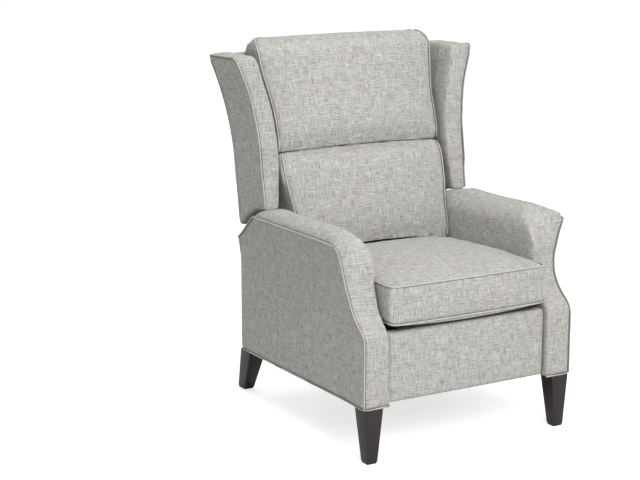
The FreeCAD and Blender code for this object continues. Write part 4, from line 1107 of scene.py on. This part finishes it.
def make_screws():
    """The screws of the base plates and of the seat plates."""
    tree = screw_tree(zinc())
    rows = (
        ("base_screws", "chassis", 0.2762, 0.248, (0.400, 0.460, 0.500, 0.600)),
        ("seat_screws", "seat", 0.2662, 0.362, (0.110, 0.190, 0.270, 0.350, 0.430, 0.510, 0.570)),
    )
    for name, body, reach, height, depths in rows:
        mesh = bpy.data.meshes.new(name)
        mesh.from_pydata([(s * reach, d + ARM_FRONT, height) for s in (1, -1) for d in depths], [], [])
        piece = grown(new_piece(name, mesh), tree, Radius=0.0042)
        dressed(piece, zinc(), "zinc_steel", body)


def make_deck():
    """The cloth over the seat springs, and the straps of webbing behind the back cushions."""
    low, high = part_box("seat_deck")
    grid = bmesh.new()
    bmesh.ops.create_grid(grid, x_segments=40, y_segments=40, size=0.5)
    wide, deep = high.x - low.x, high.y - low.y
    top = high.z - 0.0012
    for vertex in grid.verts:
        u, v = vertex.co.x * 2, vertex.co.y * 2
        sag = 0.0018 * max(0.0, 1 - u * u) * max(0.0, 1 - v * v) * (1 + 0.5 * math.cos(u * 4 * math.pi))
        vertex.co = Vector((u * wide / 2, (low.y + high.y) / 2 + v * deep / 2, top - sag))
    deck = built("deck_cloth", grid)
    modified(deck, "SOLIDIFY", thickness=0.0010, offset=-1)
    deck.data.shade_smooth()
    dressed(deck, deck_cloth(), "black_cloth", "seat", "seat_deck")

    webbing = finish_of("jute webbing", plain_cloth, (0.30, 0.21, 0.12), 0.0024)
    bm = bmesh.new()
    move = placed(True)
    for height in STRAP_HEIGHTS:
        rows = []
        for i in range(21):
            x = -STRAP_HALF + 2 * STRAP_HALF * i / 20
            depth = STRAP_DEPTH - 0.0004 * math.cos(x / STRAP_HALF * math.pi / 2)
            rows.append([bm.verts.new(move @ Vector((x, depth, height + STRAP_WIDTH * j / 4)))
                         for j in range(5)])
        for a, b in zip(rows, rows[1:]):
            for i in range(4):
                bm.faces.new((a[i], b[i], b[i + 1], a[i + 1]))
    straps = built("webbing_straps", bm)
    modified(straps, "SOLIDIFY", thickness=0.0011, offset=0)
    dressed(straps, webbing, "black_cloth", "back", "back_webbing")


def paint_frame():
    """Finishes for the frame pieces that show as they are."""
    bare = tuple(bpy.context.scene.recliner_wood.frame_wood)
    grain = tuple(c * 0.62 for c in bare)
    hardwood = finish_of("planed hardwood", stained_wood, bare, grain, 0.55, 0.0, 0.8)
    plywood = finish_of("plywood", stained_wood, (0.62, 0.48, 0.31), (0.42, 0.30, 0.18), 0.6, 0.0, 0.5)
    enamel = finish_of("black enamel", sheet_metal, (0.024, 0.024, 0.026), 0.0, 0.36, 0.05)
    spring = finish_of("spring steel", sheet_metal, (0.30, 0.30, 0.31), 1.0, 0.38, 0.10)
    finishes = (
        (hardwood, ("mechanism_rail", "corner_blocks", "rear_rail", "seat_rear_rail",
                    "back_post", "back_top_rail", "back_bottom_rail")),
        (plywood, ("arm_panel", "wing_board", "footrest_board")),
        (spring, ("seat_springs",)),
        (zinc(), ("leg_bolts",)),
        (deck_cloth(), ("seat_front_rail", "seat_side_rail")),
        (enamel, ("base_plate", "cross_tube", "front_swing_link", "rear_swing_link", "seat_plate",
                  "long_link", "drive_tube", "short_link", "cross_link", "panel_link",
                  "footrest_bracket", "back_bracket", "control_link")),
    )
    for name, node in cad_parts.items():
        finish = next((f for f, starts in finishes if name.startswith(starts)), None)
        if finish:
            painted(node, finish)


def make_camera():
    """The camera at the place that the photograph was taken from."""
    scene = bpy.context.scene
    data = bpy.data.cameras.new("camera")
    data.lens = scene.recliner_studio.lens
    data.sensor_width = 36
    data.clip_end = 50
    camera = bpy.data.objects.new("camera", data)
    camera.location = CAMERA_SPOT
    camera.rotation_euler = Vector(CAMERA_AIM).to_track_quat("-Z", "Y").to_euler()
    scene.collection.objects.link(camera)
    scene.camera = camera


def make_stage():
    """The pale floor, the white surroundings and the soft lamps."""
    scene = bpy.context.scene
    studio = scene.recliner_studio
    scene.view_settings.view_transform = "Standard"
    make_camera()

    bm = bmesh.new()
    bmesh.ops.create_grid(bm, x_segments=1, y_segments=1, size=14)
    floor = built("floor", bm)
    material, tree, shader = new_material("pale floor")
    fed(tree, shader, {"Base Color": (*studio.floor, 1), "Roughness": 0.9})
    seen = added(tree, "ShaderNodeLightPath").outputs["Is Camera Ray"]
    glow = added(tree, "ShaderNodeEmission", {
        "Color": WHITE, "Strength": maths(tree, "MULTIPLY", seen, FLOOR_GLOW)})
    both = added(tree, "ShaderNodeAddShader", {0: shader.outputs["BSDF"], 1: glow.outputs["Emission"]})
    output = next(n for n in tree.nodes if n.type == "OUTPUT_MATERIAL")
    fed(tree, output, {"Surface": both.outputs[0]})
    floor.data.materials.append(material)

    world = bpy.data.worlds.new("studio")
    scene.world = world
    world.use_nodes = True
    tree = world.node_tree
    path = added(tree, "ShaderNodeLightPath").outputs
    seen = maths(tree, "MAXIMUM", path["Is Camera Ray"],
                 maths(tree, "MAXIMUM", path["Is Glossy Ray"], path["Is Transmission Ray"]))
    strength = maths(tree, "MULTIPLY_ADD", seen, 1 - studio.ambient, studio.ambient)
    fed(tree, tree.nodes["Background"], {"Strength": strength, "Color": WHITE})

    for name, spot, power, size in (("key lamp", (-0.5, -3.5, 2.9), studio.key_power, 2.2),
                                    ("top lamp", (-0.3, 0.2, 3.6), studio.top_power, 3.0)):
        data = bpy.data.lights.new(name, "AREA")
        data.energy = power
        data.shape = "SQUARE"
        data.size = size
        lamp = bpy.data.objects.new(name, data)
        lamp.location = spot
        lamp.rotation_euler = (Vector((0, 0, 0.5)) - Vector(spot)).to_track_quat("-Z", "Y").to_euler()
        scene.collection.objects.link(lamp)


class RECLINER_OT_stage(bpy.types.Operator):
    """Makes the floor, the lamps and the camera."""

    bl_idname = "recliner.stage"
    bl_label = "Studio"

    def execute(self, context):
        make_stage()
        return {"FINISHED"}


class RECLINER_OT_arms(bpy.types.Operator):
    """Makes the padded arms with their cords and seams."""

    bl_idname = "recliner.arms"
    bl_label = "Arms"

    def execute(self, context):
        make_arms()
        return {"FINISHED"}


class RECLINER_OT_wings(bpy.types.Operator):
    """Makes the padded wings with their cords."""

    bl_idname = "recliner.wings"
    bl_label = "Wings"

    def execute(self, context):
        make_wings()
        return {"FINISHED"}


class RECLINER_OT_outside_back(bpy.types.Operator):
    """Makes the covered panels behind the back and the base."""

    bl_idname = "recliner.outside_back"
    bl_label = "Outside Back"

    def execute(self, context):
        make_outside_back()
        return {"FINISHED"}


class RECLINER_OT_seat_cushion(bpy.types.Operator):
    """Makes the loose seat cushion."""

    bl_idname = "recliner.seat_cushion"
    bl_label = "Seat Cushion"

    def execute(self, context):
        make_seat_cushion()
        return {"FINISHED"}


class RECLINER_OT_lower_cushion(bpy.types.Operator):
    """Makes the lower back cushion."""

    bl_idname = "recliner.lower_cushion"
    bl_label = "Lower Back Cushion"

    def execute(self, context):
        make_lower_cushion()
        return {"FINISHED"}


class RECLINER_OT_upper_cushion(bpy.types.Operator):
    """Makes the upper back cushion."""

    bl_idname = "recliner.upper_cushion"
    bl_label = "Upper Back Cushion"

    def execute(self, context):
        make_upper_cushion()
        return {"FINISHED"}


class RECLINER_OT_footrest_pad(bpy.types.Operator):
    """Makes the padded panel under the seat."""

    bl_idname = "recliner.footrest_pad"
    bl_label = "Footrest Pad"

    def execute(self, context):
        make_footrest_pad()
        return {"FINISHED"}


class RECLINER_OT_legs(bpy.types.Operator):
    """Makes the stained legs."""

    bl_idname = "recliner.legs"
    bl_label = "Legs"

    def execute(self, context):
        make_legs()
        return {"FINISHED"}


class RECLINER_OT_screws(bpy.types.Operator):
    """Makes the screws of the plates."""

    bl_idname = "recliner.screws"
    bl_label = "Screws"

    def execute(self, context):
        make_screws()
        return {"FINISHED"}


class RECLINER_OT_deck(bpy.types.Operator):
    """Makes the seat cloth and the webbing."""

    bl_idname = "recliner.deck"
    bl_label = "Deck and Webbing"

    def execute(self, context):
        make_deck()
        return {"FINISHED"}


class RECLINER_OT_frame_finishes(bpy.types.Operator):
    """Paints the wood and steel that show as they are."""

    bl_idname = "recliner.frame_finishes"
    bl_label = "Frame Finishes"

    def execute(self, context):
        paint_frame()
        return {"FINISHED"}


OPERATORS = (
    RECLINER_OT_stage, RECLINER_OT_arms, RECLINER_OT_wings, RECLINER_OT_outside_back,
    RECLINER_OT_seat_cushion, RECLINER_OT_lower_cushion, RECLINER_OT_upper_cushion,
    RECLINER_OT_footrest_pad, RECLINER_OT_legs, RECLINER_OT_screws, RECLINER_OT_deck,
    RECLINER_OT_frame_finishes)


class RECLINER_PT_panel(bpy.types.Panel):
    """Lists the steps of the making in the sidebar."""

    bl_idname = "RECLINER_PT_panel"
    bl_label = "Wing Recliner"
    bl_space_type = "VIEW_3D"
    bl_region_type = "UI"
    bl_category = "Recliner"

    def draw(self, context):
        column = self.layout.column(align=True)
        for kind in OPERATORS:
            column.operator(kind.bl_idname)


PROPERTIES = (
    ("recliner_tweed", TweedProperties),
    ("recliner_padding", PaddingProperties),
    ("recliner_welts", WeltProperties),
    ("recliner_wood", WoodProperties),
    ("recliner_studio", StudioProperties),
)


def register():
    """Registers the properties, the operators and the panel."""
    for name, kind in PROPERTIES:
        bpy.utils.register_class(kind)
        setattr(bpy.types.Scene, name, bpy.props.PointerProperty(type=kind))
    for kind in OPERATORS + (RECLINER_PT_panel,):
        bpy.utils.register_class(kind)


def unregister():
    """Takes everything off again."""
    for kind in reversed(OPERATORS + (RECLINER_PT_panel,)):
        bpy.utils.unregister_class(kind)
    for name, kind in reversed(PROPERTIES):
        delattr(bpy.types.Scene, name)
        bpy.utils.unregister_class(kind)


def main():
    """Makes the whole chair."""
    register()
    for kind in OPERATORS:
        getattr(bpy.ops.recliner, kind.bl_idname.split(".")[1])()


if __name__ == "__main__":
    main()
